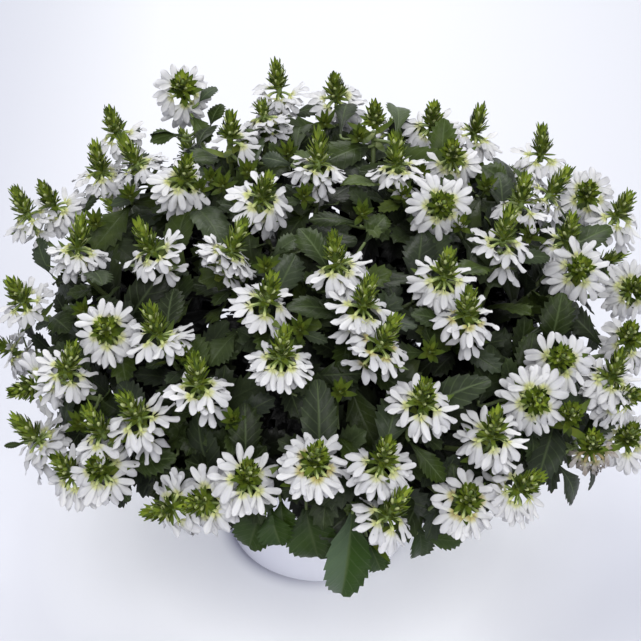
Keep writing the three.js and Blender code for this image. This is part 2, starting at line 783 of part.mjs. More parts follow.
// The tuft of close leaves where a main stem forks: a slim core with a tip on each face
function tuftSolid({ index, path }, size) {
  const [bend, end] = path.slice(2);
  const core = solidOf(new THREE.IcosahedronGeometry(1)).getMesh();
  const turn = new THREE.Quaternion().setFromUnitVectors(vec(0, 0, 1), end.clone().sub(bend).normalize());
  const centre = mix(bend, end, TUFT_PLACE);
  const place = (way, swell) => way.clone()
    .multiply(vec(TUFT_RADIUS, TUFT_RADIUS, TUFT_HALF_LENGTH))
    .multiplyScalar(size * swell)
    .applyQuaternion(turn)
    .add(centre);
  const ways = [];
  for (let corner = 0; corner < core.vertProperties.length; corner += 3) {
    ways.push(vec(...core.vertProperties.slice(corner, corner + 3)));
  }
  const points = ways.map((way) => place(way, 1));
  const triangles = [];
  for (let corner = 0; corner < core.triVerts.length; corner += 3) {
    const [a, b, c] = core.triVerts.slice(corner, corner + 3);
    const outward = ways[a].clone().add(ways[b]).add(ways[c]).normalize();
    const swell = TUFT_TIP_LEAST + TUFT_TIP_SPREAD * draw(index, 100 + corner);
    points.push(place(outward, TUFT_TIP * swell));
    const tip = points.length - 1;
    triangles.push([a, b, tip], [b, c, tip], [c, a, tip]);
  }
  return solid(points, triangles);
}

// Where a leaf may grow: its root in the stem below a ring, its place along the stem and the
// turn round it by the golden angle, with other turns and a shorter blade to try after that
function spikeLeaves(spike) {
  const leaves = [];
  const count = spike.centre.z > LEAFY_HEIGHT ? 2 : 1;
  for (let order = 0; order < count; order++) {
    const step = order + LEAF_PLACE_SPREAD * draw(spike.index, 50 + order);
    const below = LEAF_FIRST + LEAF_STEP * step - NECK_LENGTH;
    const [low, neck] = spike.path.slice(STEM_STEPS - 1);
    const root = mix(neck, low, Math.min(LEAF_LAST_SHARE, below / neck.distanceTo(low)));
    const length = LEAF_LENGTH
      * (LEAF_LENGTH_LEAST + LEAF_LENGTH_SPREAD * draw(spike.index, 60 + order));
    const tries = [];
    for (let attempt = 0; attempt < LEAF_TRIES; attempt++) {
      const turn = GOLDEN_ANGLE * (3 * spike.index + order + attempt);
      const rise = LEAF_RISE
        + LEAF_RISE_SPREAD * (draw(spike.index, 70 + order + attempt) - 0.5);
      const out = spike.across.clone().multiplyScalar(Math.cos(turn))
        .addScaledVector(spike.forward, Math.sin(turn));
      const way = out.multiplyScalar(Math.cos(rise)).addScaledVector(spike.axis, Math.sin(rise));
      const reach = length * (1 - LEAF_SHORTENING * attempt);
      const tip = along(root, way, reach);
      tries.push({
        outline: SMALL_LEAF_OUTLINE,
        root: along(root, way, -LEAF_ROOT_DEPTH),
        foot: along(root, way, LEAF_FOOT),
        tip,
        width: reach * LEAF_WIDTH_SHARE,
        up: spike.axis,
      });
    }
    leaves.push({
      branch: spike.branch,
      mostAdded: LEAF_MOST_ADDED,
      tries: tries.filter(hangsClear),
    });
  }
  return leaves;
}

function hangsClear({ tip }) {
  return tip.z > LEAF_LOWEST;
}

// The nearest place on any spike's stem, short of its neck
function nearestStem(place) {
  let best = { distance: Infinity };
  for (const spike of spikes) {
    for (let step = 1; step <= STEM_STEPS; step++) {
      const low = spike.path[step - 1];
      const stretch = spike.path[step].clone().sub(low);
      const share = THREE.MathUtils.clamp(
        place.clone().sub(low).dot(stretch) / stretch.lengthSq(), ...ROOT_SHARES);
      const root = along(low, stretch, share);
      const distance = root.distanceTo(place);
      if (distance < best.distance) {
        best = { distance, root, branch: spike.branch };
      }
    }
  }
  return best;
}

function frontLeaf([tipAcross, tipDown, footAcross, footDown, width, share]) {
  const tries = [];
  const footShare = share - FRONT_LEAF_SINK;
  const { root, branch } = nearestStem(onDome(footAcross, footDown, footShare));
  for (const shift of FRONT_LEAF_SHIFTS) {
    const foot = onDome(footAcross, footDown, footShare + shift);
    const tip = onDome(tipAcross, tipDown, share + shift);
    const up = foot.clone().add(tip).sub(vec(0, 0, 2 * SOIL_TOP)).normalize();
    const rootWay = foot.clone().sub(root).normalize();
    tries.push({
      outline: LARGE_LEAF_OUTLINE,
      root: along(root, rootWay, -LEAF_ROOT_DEPTH),
      foot,
      tip,
      width,
      up,
    });
  }
  return { branch, mostAdded: FRONT_LEAF_MOST_ADDED, tries };
}

// Pot and soil
function turned(profile) {
  const outline = profile.map(([radius, height]) => new THREE.Vector2(radius, height));
  const geometry = new THREE.LatheGeometry(outline, POT_SIDES);
  geometry.rotateX(Math.PI / 2);
  return solidOf(geometry);
}

function potSolid() {
  const slope = (POT_RIM_RADIUS - POT_BASE_RADIUS) / POT_HEIGHT;
  const innerAt = (height) => POT_BASE_RADIUS + slope * height - POT_WALL;
  return turned([
    [0, 0],
    [POT_BASE_RADIUS - POT_EDGE, 0],
    [POT_BASE_RADIUS, POT_EDGE],
    [POT_RIM_RADIUS, POT_HEIGHT - POT_EDGE],
    [POT_RIM_RADIUS - POT_EDGE, POT_HEIGHT],
    [POT_RIM_RADIUS - POT_WALL + POT_EDGE, POT_HEIGHT],
    [innerAt(POT_HEIGHT - POT_EDGE), POT_HEIGHT - POT_EDGE],
    [innerAt(POT_FLOOR), POT_FLOOR],
    [0, POT_FLOOR],
  ]);
}

function soilSolid() {
  const slope = (POT_RIM_RADIUS - POT_BASE_RADIUS) / POT_HEIGHT;
  const radiusAt = (height) => POT_BASE_RADIUS + slope * height - POT_WALL - GAP;
  const bed = turned([
    [0, POT_FLOOR + GAP],
    [radiusAt(POT_FLOOR), POT_FLOOR + GAP],
    [radiusAt(SOIL_TOP), SOIL_TOP],
    [radiusAt(SOIL_TOP) * SOIL_CROWN_SHARE, SOIL_TOP + SOIL_CROWN],
    [0, SOIL_TOP + SOIL_CROWN],
  ]);
  return branches.reduce((soil, { root }) => {
    const foot = along(root, vec(0, 0, 1), -GAP);
    const mouth = vec(root.x, root.y, SOIL_TOP + SOIL_CROWN + STEM_HOLE_RISE);
    const radius = (MAIN_STEM_RADIUS + GAP) / Math.cos(Math.PI / MAIN_STEM_SIDES);
    return soil.subtract(tube([foot, mouth], [radius, radius], MAIN_STEM_SIDES));
  }, bed);
}

// All solids, each leaf in the first of its places where it crosses no other piece
const pieces = [
  { name: "pot", body: potSolid(), material: POT_WHITE },
  { name: "soil", body: soilSolid(), material: SOIL_BROWN },
];
const rings = new Map();
for (const spike of blooms) {
  rings.set(spike.group, [...(rings.get(spike.group) ?? []), ringSolid(spike)]);
}
[...rings.values()].forEach((solids, index) => {
  const name = `bloom_${String(index + 1).padStart(2, "0")}`;
  pieces.push({ name, body: joined(solids), material: WHITE });
});
for (const branch of branches) {
  const heads = branch.spikes.map((spike) => spikeSolid(spike.path, spike.axis));
  branch.piece = {
    name: `leafy_stem_${branch.index + 1}`,
    body: joined([tube(branch.path, MAIN_STEM_RADII, MAIN_STEM_SIDES), ...heads]),
    material: GREEN,
  };
  pieces.push(branch.piece);
}

function crosses(body, own) {
  return pieces.some((piece) => piece !== own && !piece.body.intersect(body).isEmpty());
}

for (const branch of branches) {
  let size = TUFT_MOST;
  let grown = joined([tuftSolid(branch, size), branch.piece.body]);
  while (crosses(tuftSolid(branch, size + TUFT_STEP), branch.piece) || !hasClearCorners(grown)) {
    size -= TUFT_STEP;
    grown = joined([tuftSolid(branch, size), branch.piece.body]);
  }
  branch.piece.body = grown;
}

const leaves = [...FRONT_LEAVES.map(frontLeaf), ...spikes.flatMap(spikeLeaves)];
for (const { branch, mostAdded, tries } of leaves) {
  tries.some((leaf) => {
    const grown = joined([branch.piece.body, leafSolid(leaf, 0)]);
    const added = grown.numTri() - branch.piece.body.numTri();
    const fits = added > 0 && added < mostAdded && hasClearCorners(grown)
      && !crosses(leafSolid(leaf, LEAF_ROOM), branch.piece);
    if (fits) {
      branch.piece.body = grown;
    }
    return fits;
  });
}

const pottedFanFlower = new THREE.Group();
for (const { name, body, material } of pieces) {
  pottedFanFlower.add(named(name, body, material));
}

export default pottedFanFlower;
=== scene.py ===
# Potted white fan flower: petals, bracts, leaves, stems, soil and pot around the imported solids.
import math
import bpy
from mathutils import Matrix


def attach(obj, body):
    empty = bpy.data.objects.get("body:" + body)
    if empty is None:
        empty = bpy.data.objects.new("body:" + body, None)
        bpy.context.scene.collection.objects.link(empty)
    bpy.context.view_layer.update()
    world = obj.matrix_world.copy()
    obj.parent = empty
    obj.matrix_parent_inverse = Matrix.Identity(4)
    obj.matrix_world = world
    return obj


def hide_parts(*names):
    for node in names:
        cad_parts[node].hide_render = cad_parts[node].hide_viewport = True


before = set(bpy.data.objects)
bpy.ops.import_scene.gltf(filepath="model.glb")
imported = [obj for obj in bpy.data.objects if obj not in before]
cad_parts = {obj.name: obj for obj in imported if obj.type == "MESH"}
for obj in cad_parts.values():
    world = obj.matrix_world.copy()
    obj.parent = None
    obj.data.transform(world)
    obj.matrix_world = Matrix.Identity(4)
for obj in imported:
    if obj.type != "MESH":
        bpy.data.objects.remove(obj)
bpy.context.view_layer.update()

from types import SimpleNamespace as Thing

import bpy
import numpy as np

MM = 0.001

# Pot and soil, in millimetres
POT_HEIGHT = 125
POT_BASE_RADIUS = 61
POT_RIM_RADIUS = 72.5
POT_WALL = 4
POT_FLOOR = 6
POT_EDGE = 1.5
POT_EDGE_CUT = [0.4, 0.5]
POT_SIDES = 128
SOIL_TOP = 111
SOIL_CROWN = 3
SOIL_CROWN_SLOPE = 2.5
SOIL_MIDDLE_SHARE = 0.02
SOIL_RINGS = 24
SOIL_GAP = 0.35

# The dome that the rings of fans lie on
DOME_CENTRE_HEIGHT = 150
DOME_RADIUS = 200
DOME_HALF_HEIGHT = 130

# The front view, a square of 641 units a side
VIEW_HALF = 320.5
VIEW_PITCH = math.radians(38)
VIEW_DISTANCE = 1100
VIEW_FOCAL = 1760
VIEW_TARGET_HEIGHT = 171
LEAST_NEARNESS = 0.05
SENSOR_WIDTH = 36

# Rings of fans on the spikes
SPIKE_LENGTH = 27
RING_INNER_RADIUS = 2.5
RING_HALF_THICKNESS = 1.5
FAN_THROAT = 11
PETAL_LENGTH = 11
PETAL_STEP = math.radians(44)
FANS = 5
FAN_TURN = 2 * math.pi / FANS
LOWER_FAN_DROP = 9
LOWER_FAN_DROOP = 0.2
FAN_DROP = 3
FAN_DROOP = 0.1
FAN_DROOP_SPREAD = 0.2
FAN_SAG = 0.4
RING_TURN_SPREAD = 0.5

# Main stems, of which the first ones stand nearer the middle
MAIN_STEM_DEPTH = 18
MAIN_STEM_BOW = 5
INNER_STEMS = 2
INNER_STEM_REACH = 10.2
OUTER_STEM_REACH = 30.6
COLLAR_RISE = 6
FORK_PLACE = 0.5
FORK_SPREAD = 0.5

# Stems of spikes, and stalks of leaves and young shoots
STEM_STEPS = 2
STEM_START_PULL = 0.35
STEM_END_PULL = 0.22
STALK_PULL = 0.4
LEAF_STALK_PULL = 0.35
NECK_LENGTH = 8
STEM_SPAN = 2

# Leaves that the solids hold
LEAF_WIDTH_SHARE = 0.44
LEAF_LENGTH = 48
LEAF_LENGTH_LEAST = 0.8
LEAF_LENGTH_SPREAD = 0.4
LEAF_RISE = 0.45
LEAF_RISE_SPREAD = 0.35
LEAF_FOOT = 4
LEAF_FIRST = 14
LEAF_STEP = 16
LEAF_PLACE_SPREAD = 0.5
LEAF_LAST_SHARE = 0.8
LEAF_TRIES = 14
LEAF_SHORTENING = 0.05
LEAF_LOWEST = 104
LEAFY_HEIGHT = 260
FRONT_LEAF_SINK = 0.04
FRONT_LEAF_SHIFTS = [0, 0.03, -0.03, -0.06, 0.06, -0.09, -0.12, 0.09]
ROOT_SHARES = [0.15, 0.9]
TIP_MATCH = 0.05

# Painted shade: elements are darkest up to the first share of the dome's radius, and bright
# from the second
DEEP_FROM = 0.68
DEEP_TO = 1.02

# Blades. Shapes are rows of share of the length, share of the half width and reach ahead.
VALUES = ["along", "across", "tone", "stain", "warm", "deep", "sheen"]
BLADE_THICKNESS = 0.4
LEAST_BEND = 0.001
WAVE_TURNS = 9
WAVE_SHIFT = 4
PETAL_SHAPE = [
    [0, 0.36, 0], [0.2, 0.6, 0], [0.4, 0.88, 0], [0.6, 1.06, 0], [0.78, 1.04, 0], [0.93, 0.72, 0],
    [1, 0.22, 0],
]
BRACT_SHAPE = [[0, 0.6, 0], [0.3, 1, 0], [0.62, 0.85, 0], [0.86, 0.45, 0], [1, 0.08, 0]]
TOOTHED_SHAPE = [
    [0, 0.1, 0], [0.12, 0.16, 0], [0.24, 0.3, 0], [0.35, 0.52, 0], [0.44, 0.74, 0],
    [0.5, 0.98, 0.03], [0.53, 0.8, 0], [0.6, 1.08, 0.03], [0.63, 0.86, 0], [0.7, 1.06, 0.03],
    [0.73, 0.8, 0], [0.8, 0.94, 0.03], [0.83, 0.64, 0], [0.89, 0.7, 0.03], [0.92, 0.42, 0],
    [0.97, 0.3, 0.01], [1, 0.06, 0],
]
ROUNDED_SHAPE = [
    [0, 0.12, 0], [0.1, 0.26, 0], [0.19, 0.5, 0], [0.27, 0.8, 0.02], [0.3, 0.74, 0],
    [0.39, 0.96, 0.03], [0.42, 0.86, 0], [0.52, 1.0, 0.03], [0.55, 0.88, 0], [0.64, 0.94, 0.03],
    [0.67, 0.8, 0], [0.75, 0.8, 0.03], [0.78, 0.66, 0], [0.85, 0.62, 0.03], [0.88, 0.48, 0],
    [0.95, 0.36, 0.02], [1, 0.1, 0],
]
SMALL_SHAPE = [
    [0, 0.1, 0], [0.2, 0.24, 0], [0.38, 0.62, 0], [0.5, 0.98, 0.03], [0.54, 0.76, 0],
    [0.64, 1.08, 0.04], [0.68, 0.8, 0], [0.78, 1, 0.04], [0.82, 0.66, 0], [0.9, 0.68, 0.04],
    [0.93, 0.4, 0], [1, 0.08, 0],
]

# Petals. Where there are two numbers, a drawn value lies between them.
PETALS = 5
PETAL_TURN = math.radians(36)
PETAL_TURN_SPREAD = math.radians(20)
PETAL_REACH = 13.2
PETAL_START = 7.5
PETAL_FOOT = 0.8
PETAL_HALF_WIDTH = 2.1
PETAL_LENGTHS = [0.94, 1.06]
PETAL_WIDTHS = [0.9, 1.15]
PETAL_BENDS = [-0.35, 0.95]
PETAL_CUPS = [0.35, -0.55]
PETAL_TILTS = [-0.225, 0.225]
PETAL_LEANS = [-0.35, 0.35]
PETAL_WAVE = 0.38
PETAL_THICKNESS = 0.35
FAN_TURN_SPREAD = math.radians(14)
FAN_SKEW = math.radians(16)
FAN_TILTS = [-0.2, 0.2]
FAN_SIZES = [0.9, 1.04]
RING_SIZES = [0.94, 1.06]
# The salts of a ring's fans are this far apart
FAN_SALT = 7
# Painted shade: each mm of drop greys the petals by this share
DROP_SHADE = 0.06
MOST_PETAL_TONE = 1.5
# What withering takes from a petal's length and width, and how far it bends it
WITHERED_SHORTER = 0.3
WITHERED_NARROWER = 0.4
WITHERED_BEND = 1.5
FAN_BRACT_LENGTHS = [6.5, 8.5]
FAN_BRACT_HALF_WIDTH = 1.3
FAN_BRACT_RISE = 1.2
# The way of the bract behind a fan: outwards, sideways by chance, and up
FAN_BRACT_WAY = [0.97, 0.3, 0.1]
TUBE_RADII = [0.6, 0.65, 0.7, 0.75, 0.85, 1.1, 0.7]
TUBE_FOOT = 1.2
TUBE_START_PULL = 3
TUBE_END_PULL = 2.5
TUBE_BOWS = [0.4, 1.2]
TUBE_DROP_SHARE = 0.6

# A second tier of florets. The shares are for spikes that look past the viewer, and at the
# viewer.
SECOND_TIER_SHARES = [0.35, 0.65]
SECOND_TIER_FACING = 0.75
SECOND_TIER_DROPS = [2, 7]
SECOND_TIER_DROOP = 0.15
# Spikes with a whole second tier
FULL_RINGS = [25, 33, 37]
# Single florets further down the stem: for each spike, their turns round it and their drops
HANGING_FANS = {0: [[math.radians(-60), 15], [math.radians(-120), 19]]}
HANGING_DROOP = 0.5
# Spikes with withered florets, and how far withered they are
WORN = {45: 0.8}
# Spikes with brown throats, and what the others have
WARM_THROATS = {35: 0.7, 38: 0.6, 58: 0.7, 62: 0.7}
WARM_THROAT = 0.15

# Tufts round a spike: the head's bracts, the large bracts at its foot and the buds in it, the
# narrow leaves under the ring and the bracts of a young shoot. Each list but the salts: a value
# for the first element, and what it gains towards the last one, by chance, and by both together.
HEAD_TUFT = {
    "count": 54, "salts": [300, 800], "turn": 1, "slopes": [35, -28, 22], "heights": [0.5, 16.5],
    "radii": [2.4, -0.5], "lengths": [6.3, -1.05, 4.5, -0.75], "half_widths": [1.3, -0.2],
    "tones": [-0.45, 0.5, 1.1], "bends": [0.2, 0, -0.8], "cup": 0.35,
}
LARGE_TUFT = {
    "count": 10, "salts": [360, 360], "turn": 3.1, "slopes": [80, -45, 8], "heights": [1, 3.15],
    "radii": [1.1], "lengths": [7.6, 0, 2.2], "half_widths": [1.4, 0, 0.4],
    "tones": [0.05, 0, 0.3], "bends": [-0.25], "cup": 0.3,
}
BUD_TUFT = {
    "count": 8, "salts": [0, 0], "turn": 1.7, "slopes": [38, -17.5], "heights": [2.5, 11.2],
    "radii": [1.6], "spiral": 2,
}
NECK_TUFT = {
    "count": 5, "salts": [600, 600], "turn": 2.1, "slopes": [55, 0, 30], "heights": [-8, -12],
    "radii": [1], "lengths": [11, 0, 9], "half_widths": [1.7, 0, 1.2], "tones": [0, 0, 0.35],
    "bends": [-0.3], "cup": 0.25, "reach": 18,
}
SHOOT_TUFT = {
    "count": 16, "salts": [20, 20], "turn": 1, "slopes": [50, -46, 16], "heights": [-3, 7],
    "radii": [0.8], "lengths": [8.4, -2.4, 4.2, -1.2], "half_widths": [1.9, -0.8],
    "tones": [0.1, 0, 0, 0.5], "bends": [0, 0, -0.3], "cup": 0.35,
}
BUD_LENGTH = 5.5
BUD_PLACES = [0, 0.3, 0.6, 0.85, 1]
BUD_RADII = [0.5, 1, 1.2, 0.9, 0.35]
CORE_RADII = [1.6, 2, 2.2, 2, 1.6, 0.6]
CORE_PLACES = [-4, 0, 10, 18]
# Spikes with a large or a short head
HEAD_SCALES = {0: 1.35, 64: 0.5, 67: 0.45, 68: 0.6}

# Small leaves along stems, in mm and as shares of their length
SMALL_LEAF_LENGTHS = [30, 50]
SMALL_LEAF_HALF_WIDTH = 0.21
SMALL_LEAF_SLOPES = [25, 60]
SMALL_LEAF_UPTURN = 0.15
SMALL_LEAF_FACING = 0.6
SMALL_LEAF_REACH = 0.93
SMALL_LEAF_ROOT_LEAST = 0.3
SMALL_LEAF_SHORTENING = 0.82
SMALL_LEAF_LEAST = 0.45
SMALL_LEAF_TRIES = 6
SMALL_LEAF_TURN = 1.3
SMALL_LEAF_TONE = 0.85
SMALL_LEAF_BENDS = [0.2, 0.9]
SMALL_LEAF_FOLDS = [0.15, 0.7]
SMALL_LEAF_ROOM = 6
SMALL_LEAF_START = 4
LEAST_SMALL_LEAVES = 4
MAIN_STEM_LEAVES = 9
LOW_SHOOTS = 7
LOW_SHOOT_LEAVES = 12
LOW_SHOOT_TURN = 0.2
LOW_SHOOT_REACHES = [70, 165]
LOW_SHOOT_RISES = [15, 70]
LOW_SHOOT_DEPTH = 4
# The bend of a low shoot: mm outwards and up at its start, and near its end the share of its
# reach and the mm above its tip
LOW_SHOOT_START = [18, 22]
LOW_SHOOT_END = [0.8, 20]

# Leaves beyond the ones that the solids hold, in rows like FRONT_LEAVES
MORE_LEAVES = [
    [262, 158, 292, 166, 12, 0.97], [217, 88, 198, 104, 13, 0.99], [222, 104, 210, 128, 14, 0.97],
    [214, 126, 196, 152, 13, 0.95], [150, 142, 184, 136, 16, 0.96], [58, 302, 88, 294, 18, 0.84],
    [56, 284, 92, 280, 16, 0.8], [60, 426, 92, 414, 18, 0.84], [102, 400, 126, 414, 14, 0.84],
    [389, 286, 396, 306, 14, 0.84], [38, 238, 54, 278, 15, 0.9], [92, 296, 66, 302, 14, 0.78],
    [113, 499, 106, 484, 7, 0.97], [130, 501, 122, 484, 8, 0.97], [4, 446, 26, 443, 4, 0.99],
    [284, 530, 281, 500, 16, 0.86], [482, 166, 510, 194, 20, 0.95], [549, 192, 566, 230, 14, 0.95],
]
# Leaves whose tips lie below this row of the view are bright, with painted light
BRIGHT_FROM = 520
# Painted shade: leaves get darker downwards between these heights
DARK_BELOW = 250
DARKEST_AT = 150
DARKEST = 0.2
# Leaves left out, leaves given painted shade and leaves with a painted sheen on one half, as
# the places of their tips in the view, and how near a tip has to be
OMITTED = [[28, 300], [65, 162], [558, 123]]
SHADED = [[318, 380], [490, 384]]
SHINING = [[341, 594]]
TIP_REACH = 8
SHADED_REACH = 14
# Leaves over a ring of fans are set back behind it: the ring's reach in the view and its depth,
# how far a leaf is set back, and the places along a leaf that are tried
RING_REACH = 30
RING_DEPTH = 8
SET_BACK = 22
LEAF_PROBES = [0.3, 0.55, 0.8, 1]
# Leaves wider than this are rounded
ROUNDED_FROM = 20
# How leaves bend and fold, and the painted light, sheen and shade of bright, shining, shaded ones
HELD_LEAF_BEND = 0.8
HELD_LEAF_FOLDS = [0.2, 0.5]
BRIGHT_TONES = [0.4, 0.7]
BRIGHT_FOLD = 0.6
BRIGHT_SHEEN = 0.2
SHINING_SHEEN = 0.9
SHADED_SHEEN = 0.3
HELD_LEAF_TONE = 0.7

# Young shoots seen from the front. Each row: foot of the tuft across and down the view, and the
# way from there to its tip.
SHOOTS = [
    [325, 124, -3, -14], [288, 154, 0, -16], [359, 138, 3, -16], [223, 186, 1, -18],
    [404, 196, 1, -18], [247, 172, 3, -14], [266, 268, 2, -16], [362, 214, 4, -14],
    [200, 190, 3, -16], [212, 180, 2, -16], [304, 196, 1, -12], [420, 176, 2, -14],
    [130, 196, -2, -16], [96, 224, -2, -14], [486, 188, 2, -16], [530, 236, 2, -14],
    [84, 312, -3, -14], [80, 424, -4, -12], [186, 356, 1, -14], [340, 392, 2, -12],
    [300, 330, 3, -12], [460, 226, 2, -14], [234, 420, -2, -12], [430, 352, 3, -12],
]
SHOOT_SHARE = 0.93
SHOOT_ROOT_SINK = 0.2
SHOOT_LEAVES = 7

# Margins of the plant in the front view: across and down
UPPER_OUTLINE = [
    [0, 225], [30, 200], [60, 200], [90, 150], [130, 130], [160, 110], [200, 85], [240, 120],
    [270, 100], [300, 125], [330, 110], [380, 115], [460, 120], [500, 150], [540, 150], [570, 180],
    [610, 190], [641, 210],
]
LOWER_OUTLINE = [
    [0, 430], [20, 455], [60, 500], [100, 512], [140, 505], [180, 530], [215, 515], [240, 545],
    [300, 560], [340, 590], [375, 572], [440, 548], [500, 520], [530, 505], [580, 500], [600, 470],
    [641, 460],
]

# Elements of a mesh: the way round a cell of a grid, places in an element's cell of the UV map
# and directions that stems don't follow
ROUND_CELL = [(0, 0), (0, 1), (1, 1), (1, 0)]
CELL_MARGIN = 0.06
SIDE_SHARE = 0.9
CAP_PLACES = [[0.03, 0.95], [0.09, 0.95]]
CAP_RADIUS = 0.02
TUBE_SIDE = [0.31, 0.22, 0.93]
LEAF_SIDE = [0.1, 0.2, 1]

# Steps of the seeded draws, and salts from which each kind of leaf and shoot draws
SEED = 4.7
INDEX_STEP = 12.9898
SALT_STEP = 78.233
DRAW_STRETCH = 43758.5453
SHOOT_SALT = 1000
LOW_SHOOT_SALT = 700
MAIN_STEM_SALT = 900
GOLDEN_ANGLE = math.pi * (3 - math.sqrt(5))
GOLDEN_SHARE = (math.sqrt(5) - 1) / 2

# Floor, light and world, in metres and watts
FLOOR_HALF = 6.0
# The spot round which the floor's colour holds painted shade, in metres
FLOOR_SHADE = (0.24, -0.06, 0)
LIGHTS = [
    ["window", [200, 1700, 2000], [0, 800, 0], 1.4, 40, (1, 1, 1)],
    ["ceiling", [200, -1900, 2700], [0, 0, VIEW_TARGET_HEIGHT], 1.6, 52, (1, 1, 1)],
    ["fill", [-300, -3200, 1300], [0, 0, VIEW_TARGET_HEIGHT], 2.0, 22, (0.97, 0.98, 1)],
]
WORLD_COLOUR = (0.93, 0.95, 1, 1)
WORLD_STRENGTH = 0.82

# Spikes seen from the front. Each row: ring centre across and down the view, the way from
# there to the tip, the number of fans and how many of them hang lower.
SPIKES = [
    [183, 92, 3, -8, 5, 0], [117, 134, -8, -30, 4, 1], [101, 172, -6, -34, 4, 1],
    [28, 215, -13, -32, 4, 1], [54, 206, -12, -27, 4, 1], [183, 180, 8, -24, 5, 1],
    [78, 248, 6, -38, 5, 0], [152, 251, -14, -30, 4, 1], [230, 140, 2, -30, 2, 0],
    [279, 90, -4, -34, 4, 2], [336, 98, -2, -26, 4, 1], [374, 124, 0, -20, 0, 0],
    [432, 126, 1, -24, 4, 1], [318, 164, 1, -38, 5, 1], [397, 166, -2, -38, 4, 1],
    [474, 134, 8, -34, 4, 1], [452, 158, -2, -14, 3, 0], [541, 156, -1, -36, 3, 1],
    [521, 204, 3, -34, 3, 0], [503, 240, 6, -36, 4, 1], [587, 196, -2, -10, 5, 1],
    [617, 216, 13, -28, 4, 1], [566, 242, 5, -30, 3, 0], [441, 206, 2, -4, 5, 0],
    [262, 198, 9, -24, 5, 1], [230, 252, 18, -36, 5, 1], [337, 265, -5, -33, 4, 1],
    [578, 270, 2, -6, 5, 0], [632, 290, 8, -8, 5, 0], [24, 302, -12, -26, 5, 0],
    [107, 331, 0, -8, 5, 0], [158, 334, -9, -32, 4, 0], [265, 302, 10, -28, 5, 0],
    [281, 358, 4, -32, 5, 0], [363, 307, 8, -32, 5, 1], [380, 345, 17, -30, 5, 1],
    [422, 403, 3, -24, 5, 0], [444, 277, 4, -28, 5, 1], [466, 316, 2, -30, 5, 1],
    [560, 360, 0, -8, 4, 0], [535, 401, 2, -3, 5, 0], [611, 378, 8, -32, 5, 0],
    [630, 340, -6, -18, 4, 0], [618, 398, 22, -6, 4, 0], [626, 440, 4, -18, 5, 0],
    [592, 448, -4, -18, 3, 1], [570, 418, -2, -14, 0, 0], [67, 372, 11, -32, 5, 1],
    [198, 386, -2, -34, 4, 1], [138, 418, -15, -28, 5, 1], [36, 386, -24, 6, 3, 0],
    [103, 434, -15, -30, 3, 0], [38, 440, -25, -28, 5, 1], [74, 474, -18, -22, 5, 1],
    [102, 470, -4, -12, 4, 0], [172, 508, -26, 2, 5, 0], [205, 502, -20, -2, 4, 0],
    [247, 480, 4, -20, 5, 0], [315, 464, 4, -22, 5, 0], [382, 462, 6, -26, 4, 1],
    [388, 516, 18, -30, 4, 0], [492, 436, 3, -28, 5, 0], [466, 502, 4, -18, 5, 0],
    [519, 490, 20, -20, 4, 0],
]

# Spikes on the far side
BACK_PLACES = 22
BACK_SPACING = 42
BACK_TOP_SLOPE = math.radians(20)
BACK_LOW_SLOPE = math.radians(97)
BACK_UPTURN = 0.75

# Where the main stems lead: share of the dome's radius to the right, to the back and up
MAIN_STEMS = [
    [-0.1, -0.3, 0.9], [0.3, 0.35, 0.9], [-0.8, -0.15, 0.45], [-0.5, -0.75, 0.25], [0.2, -0.9, 0.3],
    [0.8, -0.45, 0.35], [0.75, 0.5, 0.4], [-0.45, 0.75, 0.5],
]

# Large leaves seen from the front. Each row: tip across and down the view, blade's foot
# across and down, width in mm and share of the dome's radius.
FRONT_LEAVES = [
    [249, 547, 262, 508, 24, 0.86], [281, 545, 270, 506, 20, 0.88], [318, 557, 306, 508, 30, 0.86],
    [341, 594, 352, 512, 27, 0.94], [381, 570, 366, 535, 14, 0.9], [464, 540, 416, 533, 11, 0.94],
    [420, 555, 417, 520, 16, 0.84], [444, 482, 408, 440, 12, 0.94], [573, 501, 556, 462, 15, 0.96],
    [588, 490, 590, 455, 14, 0.9], [529, 466, 530, 428, 18, 0.9], [493, 346, 478, 402, 26, 0.84],
    [578, 304, 524, 338, 14, 0.9], [550, 258, 495, 262, 11, 0.92], [596, 372, 566, 356, 14, 0.9],
    [309, 220, 361, 226, 12, 0.9], [298, 238, 272, 258, 13, 0.9], [386, 216, 364, 244, 13, 0.92],
    [362, 374, 308, 376, 15, 0.88], [332, 398, 296, 396, 14, 0.88], [210, 366, 238, 332, 16, 0.88],
    [256, 140, 256, 170, 14, 0.92], [178, 272, 182, 306, 24, 0.88], [150, 135, 182, 140, 13, 0.94],
    [395, 107, 396, 140, 16, 0.97], [348, 104, 340, 136, 15, 0.95], [500, 160, 500, 200, 24, 0.9],
    [304, 128, 296, 160, 15, 0.9], [123, 498, 108, 478, 9, 0.97], [131, 500, 118, 478, 9, 0.95],
    [140, 470, 176, 456, 16, 0.88], [62, 402, 92, 410, 14, 0.9],
]


# A number between 0 and 1 for each index and salt. Salts only tell apart what is drawn.
def draw(index, salt):
    value = np.sin(index * INDEX_STEP + salt * SALT_STEP + SEED) * DRAW_STRETCH
    return value - np.floor(value)


def vec(x, y, z):
    return np.array([x, y, z], float)


def unit(way):
    return way / np.linalg.norm(way, axis=-1, keepdims=True)


def distance(a, b):
    return np.linalg.norm(a - b, axis=-1)


def mix(a, b, share):
    return a + (b - a) * share


UP = vec(0, 0, 1)
VIEW_RIGHT = vec(1, 0, 0)
VIEW_UP = vec(0, math.sin(VIEW_PITCH), math.cos(VIEW_PITCH))
VIEW_BACK = vec(0, -math.cos(VIEW_PITCH), math.sin(VIEW_PITCH))
VIEW_TARGET = VIEW_TARGET_HEIGHT * UP
VIEWPOINT = VIEW_TARGET + VIEW_DISTANCE * VIEW_BACK
DOME_CENTRE = DOME_CENTRE_HEIGHT * UP
DOME = vec(DOME_RADIUS, DOME_RADIUS, DOME_HALF_HEIGHT)


